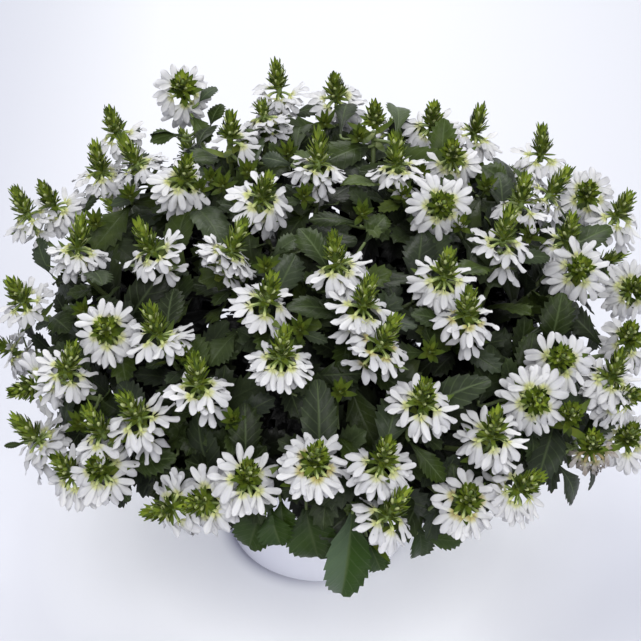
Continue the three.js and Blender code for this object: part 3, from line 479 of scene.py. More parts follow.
# The units across and down the view at which places are seen
def in_view(places):
    from_target = places - VIEW_TARGET
    scale = VIEW_FOCAL / (VIEW_DISTANCE - from_target @ VIEW_BACK)
    return VIEW_HALF + scale * np.array([from_target @ VIEW_RIGHT, -(from_target @ VIEW_UP)])


# The place on the dome, shrunk to a share, that is seen at a place in the view
def on_dome(across, down, share):
    ray = unit((across - VIEW_HALF) * VIEW_RIGHT + (VIEW_HALF - down) * VIEW_UP
               - VIEW_FOCAL * VIEW_BACK)
    start = (VIEWPOINT - DOME_CENTRE) / DOME / share
    way = ray / DOME / share
    a = way @ way
    b = start @ way
    c = start @ start - 1
    return VIEWPOINT + ray * (-b - math.sqrt(max(0, b * b - a * c))) / a


# How far out places lie, as a share of the dome's radius there
def dome_share(places):
    return distance(places / DOME, DOME_CENTRE / DOME)


# How deep in the bush places lie, from 0 to 1, which sets their painted shade
def depth_of(places):
    return np.clip((DEEP_TO - dome_share(places)) / (DEEP_TO - DEEP_FROM), 0, 1)


# Each spike's ring centre, axis and fans
def make_spike(centre, axis, fans, low_fans):
    across = unit(np.cross(UP, axis))
    return Thing(centre=centre, axis=axis, across=across, forward=np.cross(axis, across),
                 fans=fans, low_fans=low_fans)


def front_spike(across, down, tip_across, tip_down, fans=0, low_fans=0, share=1):
    scale = VIEW_FOCAL / VIEW_DISTANCE * SPIKE_LENGTH
    right = tip_across / scale
    up = -tip_down / scale
    near = math.sqrt(max(LEAST_NEARNESS, 1 - right * right - up * up))
    axis = unit(right * VIEW_RIGHT + up * VIEW_UP + near * VIEW_BACK)
    return make_spike(on_dome(across, down, share), axis, fans, low_fans)


def back_spike(index):
    share = (index + 0.5) / BACK_PLACES
    slope = math.acos(mix(math.cos(BACK_TOP_SLOPE), math.cos(BACK_LOW_SLOPE), share))
    turn = index * GOLDEN_SHARE % 1 * math.pi
    side = vec(math.cos(turn), math.sin(turn), 0)
    centre = DOME_CENTRE + DOME * (side * math.sin(slope) + UP * math.cos(slope))
    lean = BACK_UPTURN * slope
    return make_spike(centre, side * math.sin(lean) + UP * math.cos(lean), FANS, index % 2)


spikes = [front_spike(*row) for row in SPIKES]
for spike in map(back_spike, range(BACK_PLACES)):
    if all(distance(other.centre, spike.centre) > BACK_SPACING for other in spikes):
        spikes.append(spike)
for index, spike in enumerate(spikes):
    spike.index = index


def bezier(a, b, c, d, steps):
    t = np.linspace(0, 1, steps + 1)[:, None]
    return (1 - t) ** 3 * a + 3 * (1 - t) ** 2 * t * b + 3 * (1 - t) * t ** 2 * c + t ** 3 * d


# Main stems, each with the spikes nearest to the place it leads to
aims = DOME_CENTRE + DOME * np.array(MAIN_STEMS)
branches = []
for index, aim in enumerate(aims):
    turn = math.atan2(aim[1], aim[0])
    reach = INNER_STEM_REACH if index < INNER_STEMS else OUTER_STEM_REACH
    foot = vec(reach * math.cos(turn), reach * math.sin(turn), SOIL_TOP)
    own = [spike for spike in spikes if distance(aims, spike.centre).argmin() == index]
    collar = foot + (SOIL_CROWN + COLLAR_RISE) * UP
    end = mix(foot, np.mean([spike.centre for spike in own], axis=0), FORK_PLACE)
    bend = mix(collar, end, 0.5) + MAIN_STEM_BOW * UP
    branch = Thing(index=index, path=[foot - MAIN_STEM_DEPTH * UP, collar, bend, end],
                   spikes=own, leaves=[], shoots=[])
    branches.append(branch)
    ordered = sorted(own, key=lambda spike: distance(spike.centre, end))
    for order, spike in enumerate(ordered):
        start = mix(end, bend, FORK_SPREAD * order / len(own))
        centre, axis = spike.centre, spike.axis
        last = centre - axis * STEM_END_PULL * distance(start, centre)
        neck = centre - axis * NECK_LENGTH
        spike.curve = (start, mix(start, centre, STEM_START_PULL), last, neck)
        spike.path = bezier(*spike.curve, STEM_STEPS)
        spike.branch = branch


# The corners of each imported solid, in millimetres
def corners_of(node):
    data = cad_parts[node].data
    corners = np.empty(len(data.vertices) * 3, np.float32)
    data.vertices.foreach_get("co", corners)
    return corners.reshape(-1, 3).astype(float) / MM


corners = {node: corners_of(node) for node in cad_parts}

# The ring of each spike, in the solid whose inner corners lie round the spike's centre
inner_reach = math.hypot(RING_INNER_RADIUS, RING_HALF_THICKNESS)
rings = {node: [] for node in sorted(corners) if node.startswith("bloom")}
for spike in spikes:
    if spike.fans > 0:
        misfits = {node: np.abs(distance(corners[node], spike.centre) - inner_reach).min()
                   for node in rings}
        rings[min(misfits, key=misfits.get)].append(spike)


def is_low_fan(spike, fan):
    first = math.ceil((spike.fans - spike.low_fans) / 2)
    return first <= fan < first + spike.low_fans


# The turn round a spike at which a direction points, and the directions at some turns
def turn_of(spike, way):
    return math.atan2(way @ spike.forward, way @ spike.across)


def outward(spike, turns):
    turns = np.asarray(turns)[..., None]
    return spike.across * np.cos(turns) + spike.forward * np.sin(turns)


def turn_to_front(spike):
    spread = RING_TURN_SPREAD * (draw(spike.index, 1) - 0.5)
    return turn_of(spike, VIEW_BACK) - (spike.fans - 1) / 2 * FAN_TURN + spread


# The turn of a ring that is joined to its neighbour by one of its fans
def joined_turn(spike, target):
    petal_turn = math.atan2(PETAL_LENGTH * math.sin(PETAL_STEP / 2),
                            FAN_THROAT + PETAL_LENGTH * math.cos(PETAL_STEP / 2))
    facing = turn_of(spike, target - spike.centre) - petal_turn
    starts = [facing - fan * FAN_TURN for fan in range(spike.fans) if not is_low_fan(spike, fan)]
    return max(starts, key=lambda start: math.cos(start - turn_to_front(spike)))


for own in rings.values():
    middle = np.mean([spike.centre for spike in own], axis=0)
    for spike in own:
        spike.start = turn_to_front(spike) if len(own) == 1 else joined_turn(spike, middle)


# The leaves along the spikes. Each has some tries, of which its solid holds one or none.
def spike_leaves(spike):
    index = spike.index
    low, neck = spike.path[-2:]
    for order in range(2 if spike.centre[2] > LEAFY_HEIGHT else 1):
        below = LEAF_FIRST + LEAF_STEP * (order + LEAF_PLACE_SPREAD * draw(index, 50 + order))
        share = min(LEAF_LAST_SHARE, (below - NECK_LENGTH) / distance(neck, low))
        root = mix(neck, low, share)
        length = LEAF_LENGTH * (LEAF_LENGTH_LEAST + LEAF_LENGTH_SPREAD * draw(index, 60 + order))
        tries = []
        for attempt in range(LEAF_TRIES):
            rise = LEAF_RISE + LEAF_RISE_SPREAD * (draw(index, 70 + order + attempt) - 0.5)
            out = outward(spike, GOLDEN_ANGLE * (3 * index + order + attempt))
            way = out * math.cos(rise) + spike.axis * math.sin(rise)
            reach = length * (1 - LEAF_SHORTENING * attempt)
            tries.append(Thing(root=root, foot=root + way * LEAF_FOOT, tip=root + way * reach,
                               width=reach * LEAF_WIDTH_SHARE, up=spike.axis))
        yield Thing(branch=spike.branch,
                    tries=[leaf for leaf in tries if leaf.tip[2] > LEAF_LOWEST])


# The nearest place on a stem, and its branch
def nearest_stem(place):
    best = (math.inf, None, None)
    for spike in spikes:
        for low, high in zip(spike.path, spike.path[1:]):
            stretch = high - low
            share = (place - low) @ stretch / (stretch @ stretch)
            root = low + stretch * np.clip(share, *ROOT_SHARES)
            if distance(root, place) < best[0]:
                best = (distance(root, place), root, spike.branch)
    return best[1:]


def front_leaf(tip_across, tip_down, foot_across, foot_down, width, share):
    share_at_foot = share - FRONT_LEAF_SINK
    root, branch = nearest_stem(on_dome(foot_across, foot_down, share_at_foot))
    tries = []
    for shift in FRONT_LEAF_SHIFTS:
        foot = on_dome(foot_across, foot_down, share_at_foot + shift)
        tip = on_dome(tip_across, tip_down, share + shift)
        up = unit(foot + tip - 2 * SOIL_TOP * UP)
        tries.append(Thing(root=root, foot=foot, tip=tip, width=width, up=up))
    return Thing(branch=branch, tries=tries)


# The try of a leaf whose tip is a corner of its solid
def grown_leaf(leaf):
    node = f"leafy_stem_{leaf.branch.index + 1}"
    for choice in leaf.tries:
        if distance(corners[node], choice.tip).min() < TIP_MATCH:
            return choice
    return None


def tip_near(leaf, places, reach):
    return distance(in_view(leaf.tip), np.array(places)).min() < reach


# Adds a leaf to its branch, with the marks that its look depends on
def keep_leaf(branch, leaf, bright):
    leaf.bright = bright
    leaf.shaded = tip_near(leaf, SHADED, SHADED_REACH)
    leaf.shining = tip_near(leaf, SHINING, TIP_REACH)
    branch.leaves.append(leaf)


ring_centres = np.array([spike.centre for spike in spikes[:len(SPIKES)] if spike.fans > 0])


# Whether a leaf lies over a ring of fans in the front view
def hides_ring(leaf):
    for share in LEAF_PROBES:
        place = mix(leaf.foot, leaf.tip, share)
        ahead = (place - ring_centres) @ VIEW_BACK > -RING_DEPTH
        near = distance(in_view(place), in_view(ring_centres).T) < RING_REACH
        if (ahead & near).any():
            return True
    return False


# A leaf that no solid holds keeps its first try, turned towards the viewer
for row in MORE_LEAVES + FRONT_LEAVES:
    leaf = front_leaf(*row)
    choice = grown_leaf(leaf)
    if choice is None:
        choice = leaf.tries[0]
        choice.up = unit(choice.up + VIEW_BACK)
    keep_leaf(leaf.branch, choice, row[1] > BRIGHT_FROM)
for spike in spikes:
    for leaf in spike_leaves(spike):
        choice = grown_leaf(leaf)
        if choice is not None and not tip_near(choice, OMITTED, TIP_REACH):
            if hides_ring(choice):
                choice.foot = choice.foot - VIEW_BACK * SET_BACK
                choice.tip = choice.tip - VIEW_BACK * SET_BACK
            keep_leaf(leaf.branch, choice, False)
for order, row in enumerate(SHOOTS):
    spike = front_spike(*row, share=SHOOT_SHARE)
    centre = spike.centre
    root, branch = nearest_stem(on_dome(*row[:2], SHOOT_SHARE - SHOOT_ROOT_SINK))
    last = centre - spike.axis * STALK_PULL * distance(root, centre)
    path = bezier(root, mix(root, centre, STALK_PULL), last, centre, steps=8)
    branch.shoots.append(Thing(spike=spike, path=path, salt=SHOOT_SALT + order))


# A mesh gathered from many small elements, each with its own cell of the UV map
class Piece:
    def __init__(self):
        self.points = []
        self.values = {name: [] for name in VALUES}
        self.rims = []
        self.faces = []
        self.count = 0
        self.elements = 0

    # Elements of one form. A patch has the faces of one element, as rows of corner numbers, and
    # a place in the element's cell for every corner. Values are columns, with one number for
    # each element, or rows, with one for each point of an element.
    def add(self, look, points, patches, rim=False, **values):
        total, per = points.shape[:2]
        for faces, places in patches:
            spread = faces + self.count + per * np.arange(total)[:, None, None]
            owners = self.elements + np.repeat(np.arange(total), len(faces))
            places = np.tile(places, (total, 1, 1))
            self.faces.append((spread.reshape(-1, faces.shape[1]), places, owners, look))
        # How much painted shade the looks give each point
        values["deep"] = depth_of(points)
        for name in VALUES:
            self.values[name].append(np.broadcast_to(values.get(name, 0.0), (total, per)).ravel())
        self.rims.append(np.broadcast_to(rim, (total, per)).ravel())
        self.points.append(points.reshape(-1, 3))
        self.count += total * per
        self.elements += total

    def mesh(self, name):
        data = bpy.data.meshes.new(name)
        points = (np.concatenate(self.points) * MM).tolist()
        data.from_pydata(points, [], [face for faces, *_ in self.faces for face in faces.tolist()])
        data.shade_smooth()
        looks = list(dict.fromkeys(look.name for *_, look in self.faces))
        for look in looks:
            data.materials.append(bpy.data.materials[look])
        slots = [np.full(len(faces), looks.index(look.name)) for faces, _, _, look in self.faces]
        data.polygons.foreach_set("material_index", np.concatenate(slots).astype(np.int32))
        side = math.ceil(math.sqrt(self.elements))
        cells = []
        for _, places, owners, _ in self.faces:
            corner = np.stack([owners % side, owners // side], -1)[:, None, :] + CELL_MARGIN
            cells.append(((corner + (1 - 2 * CELL_MARGIN) * places) / side).ravel())
        layer = data.uv_layers.new(name="OFBake")
        layer.data.foreach_set("uv", np.concatenate(cells).astype(np.float32))
        for value in VALUES:
            attribute = data.attributes.new(value, "FLOAT", "POINT")
            attribute.data.foreach_set("value", np.concatenate(self.values[value]).astype(np.float32))
        # The margins of the blades are sharp
        ends = np.empty(2 * len(data.edges), np.int32)
        data.edges.foreach_get("vertices", ends)
        sharp = np.concatenate(self.rims)[ends].reshape(-1, 2).all(axis=1)
        data.attributes.new("sharp_edge", "BOOLEAN", "EDGE").data.foreach_set("value", sharp)
        return data


def show(piece, name, node):
    shown = bpy.data.objects.new(name, piece.mesh(name))
    bpy.context.scene.collection.objects.link(shown)
    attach(shown, "root")
    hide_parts(node)


# The four corners of each cell of a grid
def cells_of(grid, order):
    rows, columns = grid.shape[0] - 1, grid.shape[1] - 1
    corners = np.stack([grid[a:rows + a, b:columns + b] for a, b in order], 2)
    return corners.reshape(rows * columns, 4, *grid.shape[2:])


# Thin closed sheets along curved middles. The sheet bends away from its face.
def add_blades(piece, look, origins, ways, faces, lengths, half_widths, shape, columns, tone,
               bend=0.0, cup=0.0, fold=0.0, wave=0.0, thickness=BLADE_THICKNESS, **marks):
    total = len(ways)
    ways = unit(ways)
    sides = unit(np.cross(ways, faces))
    faces = np.cross(sides, ways)
    side, way, face = (axis[:, None, None, :] for axis in (sides, ways, faces))
    length, half, bend, cup, fold, shift = (
        np.reshape(value, (-1, 1, 1)) for value in (lengths, half_widths, bend, cup, fold, tone))
    bend = np.where(np.abs(bend) < LEAST_BEND, LEAST_BEND, bend)
    share, breadth, ahead = np.array(shape, float).T[:, None, :, None]
    rows = share.shape[1]
    u = np.linspace(-1, 1, columns)
    s = share + ahead * np.abs(u)
    out = (length * np.sin(bend * s) / bend)[..., None]
    down = (length * (1 - np.cos(bend * s)) / bend)[..., None]
    normal = face * np.cos(bend * s)[..., None] + way * np.sin(bend * s)[..., None]
    lift = half * breadth * (cup * u ** 2 + fold * np.abs(u))
    lift = lift + wave * half * np.sin(WAVE_TURNS * s + WAVE_SHIFT * shift) * u
    middle = (origins.reshape(-1, 1, 1, 3) + way * out - face * down
              + side * (u * half * breadth)[..., None] + normal * lift[..., None])
    inner = np.zeros((rows, columns), bool)
    inner[1:-1, 1:-1] = True
    offset = normal * thickness / 2
    top = middle + offset * inner[..., None]
    points = np.concatenate([top.reshape(total, -1, 3), (middle - offset)[:, inner]], 1)

    number = np.arange(rows * columns).reshape(rows, columns)
    below = number.copy()
    below[inner] = rows * columns + np.arange(inner.sum())
    across, along = np.meshgrid(u, share.ravel())
    places = np.stack([(across + 1) / 4, along], -1)
    # The upper side has the left half of the element's cell, and the under side the right half
    patches = [(cells_of(number, ROUND_CELL), cells_of(places, ROUND_CELL)),
               (cells_of(below, ROUND_CELL[::-1]), cells_of(places + [0.5, 0], ROUND_CELL[::-1]))]

    def with_under(values):
        return np.concatenate([values.ravel(), values[inner]])

    rim = np.concatenate([~inner.ravel(), np.zeros(inner.sum(), bool)])
    marks = {name: np.reshape(value, (-1, 1)) for name, value in {"tone": tone, **marks}.items()}
    piece.add(look, points, patches, rim, along=with_under(along), across=with_under(across), **marks)


# Faces of rings of corners, one after another, that are closed at both ends
def ring_patches(places_along, sides):
    steps = len(places_along)
    number = np.arange(steps * sides).reshape(steps, sides)
    number = np.pad(number, ((0, 0), (0, 1)), "wrap")
    places = np.stack(np.meshgrid(np.linspace(0, 1, sides + 1), places_along), -1)
    patches = [(cells_of(number, ROUND_CELL), cells_of(places * [1, SIDE_SHARE], ROUND_CELL))]
    turns = np.linspace(0, 2 * math.pi, sides + 1)
    circle = np.stack([np.cos(turns), np.sin(turns)], -1) * CAP_RADIUS
    for end, around in enumerate((number[0, ::-1], number[-1])):
        tip = np.full(sides, steps * sides + end)
        rim = circle + CAP_PLACES[end]
        middle = np.tile(CAP_PLACES[end], (sides, 1))
        patches.append((np.stack([around[:-1], around[1:], tip], 1),
                        np.stack([rim[:-1], rim[1:], middle], 1)))
    return patches


# Round cords along paths, closed at both ends
def add_tubes(piece, look, paths, radii, sides, **marks):
    total, steps = paths.shape[:2]
    ways = unit(np.gradient(paths, axis=1))
    side = np.cross(ways[:, 0], TUBE_SIDE)
    turns = np.linspace(0, 2 * math.pi, sides, endpoint=False)[:, None]
    rings = []
    for step, radius in enumerate(radii):
        way = ways[:, step]
        side = unit(side - way * np.sum(side * way, -1, keepdims=True))
        other = np.cross(way, side)
        ring = side[:, None] * np.cos(turns) + other[:, None] * np.sin(turns)
        rings.append(paths[:, step, None] + ring * radius)
    points = np.concatenate([*rings, paths[:, :1], paths[:, -1:]], 1)
    share = np.linspace(0, 1, steps)
    along = np.concatenate([np.repeat(share, sides), [0, 1]])
    piece.add(look, points, ring_patches(share, sides), along=along, **marks)


# Outline turned about the upright axis into a closed body
def add_turned(piece, look, outline):
    outline = np.array(outline, float)
    turns = np.linspace(0, 2 * math.pi, POT_SIDES, endpoint=False)
    circle = np.stack([np.cos(turns), np.sin(turns), np.zeros(POT_SIDES)], -1)
    inner = outline[1:-1]
    rings = inner[:, 0, None, None] * circle + inner[:, 1, None, None] * UP
    ends = outline[[0, -1], 1, None] * UP
    points = np.concatenate([rings.reshape(-1, 3), ends])
    far = np.cumsum([0, *distance(inner[1:], inner[:-1])])
    piece.add(look, points[None], ring_patches(far / far[-1], POT_SIDES))


# A number or colour that one node of a look gives to others
class Output:
    def __init__(self, look, socket):
        self.look = look
        self.socket = socket

    def __add__(self, other):
        return self.look.maths("ADD", self, other)

    def __sub__(self, other):
        return self.look.maths("SUBTRACT", self, other)

    def __rsub__(self, other):
        return self.look.maths("SUBTRACT", other, self)

    def __mul__(self, other):
        return self.look.maths("MULTIPLY", self, other)

    def __abs__(self):
        return self.look.maths("ABSOLUTE", self)

    # The number, kept between 0 and 1
    def kept(self):
        self.socket.node.use_clamp = True
        return self


# A procedural material, put together from nodes
class Look:
    def __init__(self, name):
        self.name = name
        self.material = bpy.data.materials.new(name)
        self.material.use_nodes = True
        self.tree = self.material.node_tree
        self.tree.nodes.clear()

    def node(self, kind, output, inputs, **settings):
        node = self.tree.nodes.new(kind)
        for key, value in settings.items():
            setattr(node, key, value)
        for key, value in inputs.items():
            if isinstance(value, Output):
                self.tree.links.new(value.socket, node.inputs[key])
            else:
                node.inputs[key].default_value = value
        return Output(self, node.outputs[output]) if node.outputs else None

    def value(self, name):
        return self.node("ShaderNodeAttribute", "Fac", {}, attribute_name=name)

    def maths(self, operation, *inputs):
        return self.node("ShaderNodeMath", 0, dict(enumerate(inputs)), operation=operation)

    def place(self):
        return self.node("ShaderNodeTexCoord", "Object", {})

    def right(self):
        return self.node("ShaderNodeSeparateXYZ", "X", {"Vector": self.place()})

    def away_from(self, spot):
        inputs = {0: self.place(), 1: spot}
        return self.node("ShaderNodeVectorMath", "Value", inputs, operation="DISTANCE")

    def noise(self, scale, detail=3.0):
        inputs = {"Vector": self.place(), "Scale": scale, "Detail": detail}
        return self.node("ShaderNodeTexNoise", "Fac", inputs)

    # A colour that runs through stops of share and colour
    def ramp(self, share, *stops):
        ramp = self.node("ShaderNodeValToRGB", "Color", {"Fac": share})
        marks = ramp.socket.node.color_ramp.elements
        while len(marks) < len(stops):
            marks.new(1)
        for mark, (place, colour) in zip(marks, stops):
            mark.position = place
            mark.color = (*colour, 1)
        return ramp

    # The look's colour, part of which turns into another one
    def tint(self, share, colour):
        second = colour if isinstance(colour, Output) else (*colour, 1)
        inputs = {0: share, 6: self.colour, 7: second}
        self.colour = self.node("ShaderNodeMix", 2, inputs, data_type="RGBA")

    def bump(self, height, strength, reach):
        inputs = {"Height": height, "Strength": strength, "Distance": reach}
        return self.node("ShaderNodeBump", "Normal", inputs)

    # The surface, part of which can let light through from the far side
    def finish(self, roughness, specular, through=0.0, **details):
        inputs = {"Base Color": self.colour, "Roughness": roughness,
                  "Specular IOR Level": specular, **details}
        surface = self.node("ShaderNodeBsdfPrincipled", 0, inputs)
        if through > 0:
            glow = self.node("ShaderNodeBsdfTranslucent", 0, {"Color": self.colour})
            surface = self.node("ShaderNodeMixShader", 0, {0: through, 1: surface, 2: glow})
        self.node("ShaderNodeOutputMaterial", 0, {"Surface": surface})
        return self


def petal_look():
    look = Look("petal")
    along = look.value("along")
    across = abs(look.value("across"))
    look.colour = look.ramp(along, (0.0, (0.42, 0.5, 0.06)), (0.14, (0.7, 0.74, 0.22)),
                            (0.28, (0.76, 0.76, 0.7)), (0.5, (0.78, 0.77, 0.76)),
                            (1.0, (0.8, 0.79, 0.79)))
    # Greyer by tone: a random tone, and painted shade on florets that hang lower
    look.tint(look.value("tone") * 0.45, (0.46, 0.46, 0.49))
    # Painted shade in grooves along the petal
    groove = look.maths("SINE", across * 8.0)
    look.tint((groove * 0.12).kept(), (0.5, 0.5, 0.52))
    # Painted shade along the margins
    edge = (across - 0.6).kept()
    look.tint(edge * 1.2, (0.36, 0.36, 0.39))
    # Painted lilac shade along the middle crease
    crease = (1.0 - across * 3.2).kept()
    look.tint(crease * 0.22, (0.66, 0.64, 0.76))
    # Brown throats on some florets
    foot = (1.0 - along * 3.2).kept()
    look.tint(foot * look.value("warm"), (0.4, 0.25, 0.05))
    patch = (look.noise(260.0) * 1.6).kept()
    look.tint(patch * look.value("stain"), (0.2, 0.15, 0.1))
    # Painted shade deep in the bush
    look.tint(look.value("deep") * 0.9, (0.16, 0.16, 0.17))
    return look.finish(0.55, 0.3, 0.24)


def leaf_look():
    look = Look("leaf")
    along = look.value("along")
    right_half = look.value("across")
    across = abs(right_half)
    tone = look.value("tone") + look.noise(90.0) * 0.8
    look.colour = look.ramp((tone - 0.4).kept(), (0.0, (0.013, 0.02, 0.005)),
                            (0.35, (0.03, 0.05, 0.006)), (0.7, (0.065, 0.1, 0.012)),
                            (1.0, (0.14, 0.185, 0.035)))
    # Painted grey-green sheen on some leaves
    look.tint(look.value("warm") * 0.6, (0.065, 0.083, 0.062))
    # Bright leaves are greener, and one half of a shining leaf gets a painted pale sheen
    sheen = look.value("sheen")
    look.tint((sheen * 3.5).kept() * 0.75, (0.022, 0.068, 0.002))
    look.tint((right_half * 12.0).kept() * sheen, (0.105, 0.16, 0.09))
    rib = (1.0 - across * 9.0).kept()
    wave = look.maths("SINE", (along - across * 0.2) * 46.0)
    side_veins = ((wave - 0.82).kept() * 4.0).kept()
    veins = look.maths("MAXIMUM", rib, side_veins * 0.5)
    # Painted shade at the leaf's foot
    foot = (1.0 - along * 2.2).kept()
    look.tint(foot * 0.6, (0.008, 0.014, 0.005))
    look.tint(veins * 0.5, (0.14, 0.19, 0.08))
    # Painted shade deep in the bush
    look.tint(look.value("deep"), (0.004, 0.004, 0.004))
    relief = look.bump(look.noise(500.0) - veins, 0.35, 0.0006)
    return look.finish(0.4, 0.14, 0.14, Normal=relief)


def bract_look():
    look = Look("bract")
    along = look.value("along")
    look.colour = look.ramp(along, (0.0, (0.17, 0.21, 0.03)), (0.45, (0.062, 0.1, 0.01)),
                            (1.0, (0.02, 0.038, 0.006)))
    young = look.ramp(along, (0.0, (0.46, 0.52, 0.08)), (0.45, (0.32, 0.41, 0.045)),
                      (1.0, (0.13, 0.2, 0.02)))
    look.tint(look.value("tone"), young)
    # Painted shade deep in the bush
    look.tint(look.value("deep"), (0.01, 0.012, 0.008))
    return look.finish(0.48, 0.24, 0.16)


def stem_look():
    look = Look("stem")
    tone = look.value("tone") + look.noise(120.0) * 0.4
    look.colour = look.ramp(tone, (0.2, (0.1, 0.14, 0.04)), (0.7, (0.2, 0.27, 0.08)),
                            (1.0, (0.34, 0.38, 0.16)))
    # Painted shade deep in the bush
    look.tint(look.value("deep"), (0.012, 0.012, 0.008))
    return look.finish(0.5, 0.4)


def tube_look():
    look = Look("floret_tube")
    look.colour = look.ramp(look.value("along"), (0.0, (0.14, 0.2, 0.05)),
                            (0.6, (0.3, 0.38, 0.12)), (1.0, (0.62, 0.66, 0.26)))
    look.tint(look.value("stain"), (0.3, 0.2, 0.1))
    return look.finish(0.5, 0.4, 0.2)


def soil_look():
    look = Look("soil")
    look.colour = look.ramp(look.noise(140.0, 6.0), (0.3, (0.008, 0.006, 0.004)),
                            (0.55, (0.03, 0.02, 0.013)), (0.8, (0.07, 0.05, 0.032)))
    relief = look.bump(look.noise(420.0, 6.0), 0.8, 0.002)
    return look.finish(0.9, 0.2, Normal=relief)


# A glossy lilac white, with painted shade on the left and painted light on the right
def pot_look():
    look = Look("pot_gloss")
    look.colour = look.ramp(look.right() * 8.0 + 0.5, (0.0, (0.66, 0.665, 0.75)),
                            (0.2, (0.68, 0.685, 0.77)), (0.5, (0.74, 0.745, 0.81)),
                            (0.8, (0.97, 0.97, 0.99)))
    return look.finish(0.24, 0.5)


# A pale floor with painted light and shade: a little paler round the pot, greyer to the sides
# and at the right, and with a painted shadow at the pot's foot
def floor_look():
    look = Look("floor")
    reach = look.away_from((0, 0, 0))
    right = look.right()
    # Painted light: paler near the pot, greyer further out
    look.colour = look.ramp(reach, (0.13, (0.96, 0.965, 1.0)), (0.2, (0.73, 0.735, 0.79)),
                            (0.36, (0.6, 0.605, 0.64)), (0.8, (0.575, 0.58, 0.6)))
    # Painted shade to the sides
    sides = look.ramp(right + 0.5, (0.1, (0.7, 0.7, 0.7)), (0.22, (0.42, 0.42, 0.42)),
                      (0.34, (0, 0, 0)), (0.6, (0, 0, 0)), (0.95, (0.5, 0.5, 0.5)))
    look.tint(sides, (0.34, 0.35, 0.42))
    # Painted shade round a spot at the right
    shade = (0.8 - look.away_from(FLOOR_SHADE) * 5.0).kept()
    look.tint(shade, (0.4, 0.41, 0.47))
    # Painted shadow at the pot's foot, strongest on the left
    foot = (6.1 - reach * 83.0).kept()
    left = look.maths("MAXIMUM", (0.4 - right * 9.0).kept(), 0.12)
    look.tint(foot * foot * left, (0.3, 0.305, 0.4))
    return look.finish(0.6, 0.2)


PETAL = petal_look()
LEAF = leaf_look()
BRACT = bract_look()
STEM = stem_look()
TUBE = tube_look()
SOIL = soil_look()
POT = pot_look()
FLOOR = floor_look()


# A value for each element of a tuft, from a row of the tuft's table
def vary(row, share, chance):
    start, by_share, by_chance, by_both = [*row, 0, 0, 0][:4]
    return start + by_share * share + (by_chance + by_both * share) * chance


# Where the elements of a tuft start and lead to, with the share and chance of each one
def tuft_places(spike, index, tuft, rise):
    number = np.arange(tuft["count"])
    share = number / (tuft["count"] - 1)
    chance = draw(index, tuft["salts"][0] + number)
    slopes = np.radians(vary(tuft["slopes"], share, chance))[:, None]
    heights = rise * vary(tuft["heights"], share, chance)[:, None]
    radii = vary(tuft["radii"], share, chance)[:, None]
    out = outward(spike, GOLDEN_ANGLE * tuft.get("spiral", 1) * number + tuft["turn"] * index)
    origins = spike.centre + spike.axis * heights + out * radii
    return origins, out * np.sin(slopes) + spike.axis * np.cos(slopes), share, chance


# Bracts that face along an axis
def add_bracts(piece, axis, origins, ways, lengths, half_widths, tone, **form):
    add_blades(piece, BRACT, origins, ways, axis, lengths, half_widths, BRACT_SHAPE, columns=3,
               tone=tone, **form)


def add_tuft(piece, spike, index, tuft, rise=1, size=1):
    origins, ways, share, chance = tuft_places(spike, index, tuft, rise)
    spare = draw(index, tuft["salts"][1] + np.arange(tuft["count"]))
    kept = np.full(tuft["count"], True)
    if "reach" in tuft:
        tips = origins + ways * tuft["reach"]
        kept = (tips[:, 2] > LEAF_LOWEST) & within_outline(tips)
    if kept.any():
        tones = np.clip(vary(tuft["tones"], share, chance), 0, 1)
        lengths = size * vary(tuft["lengths"], share, spare)
        half_widths = size * vary(tuft["half_widths"], share, spare)
        bends = vary(tuft["bends"], share, spare)
        add_bracts(piece, spike.axis, origins[kept], ways[kept], lengths[kept],
                   half_widths[kept], tones[kept], bend=bends[kept], cup=tuft["cup"])


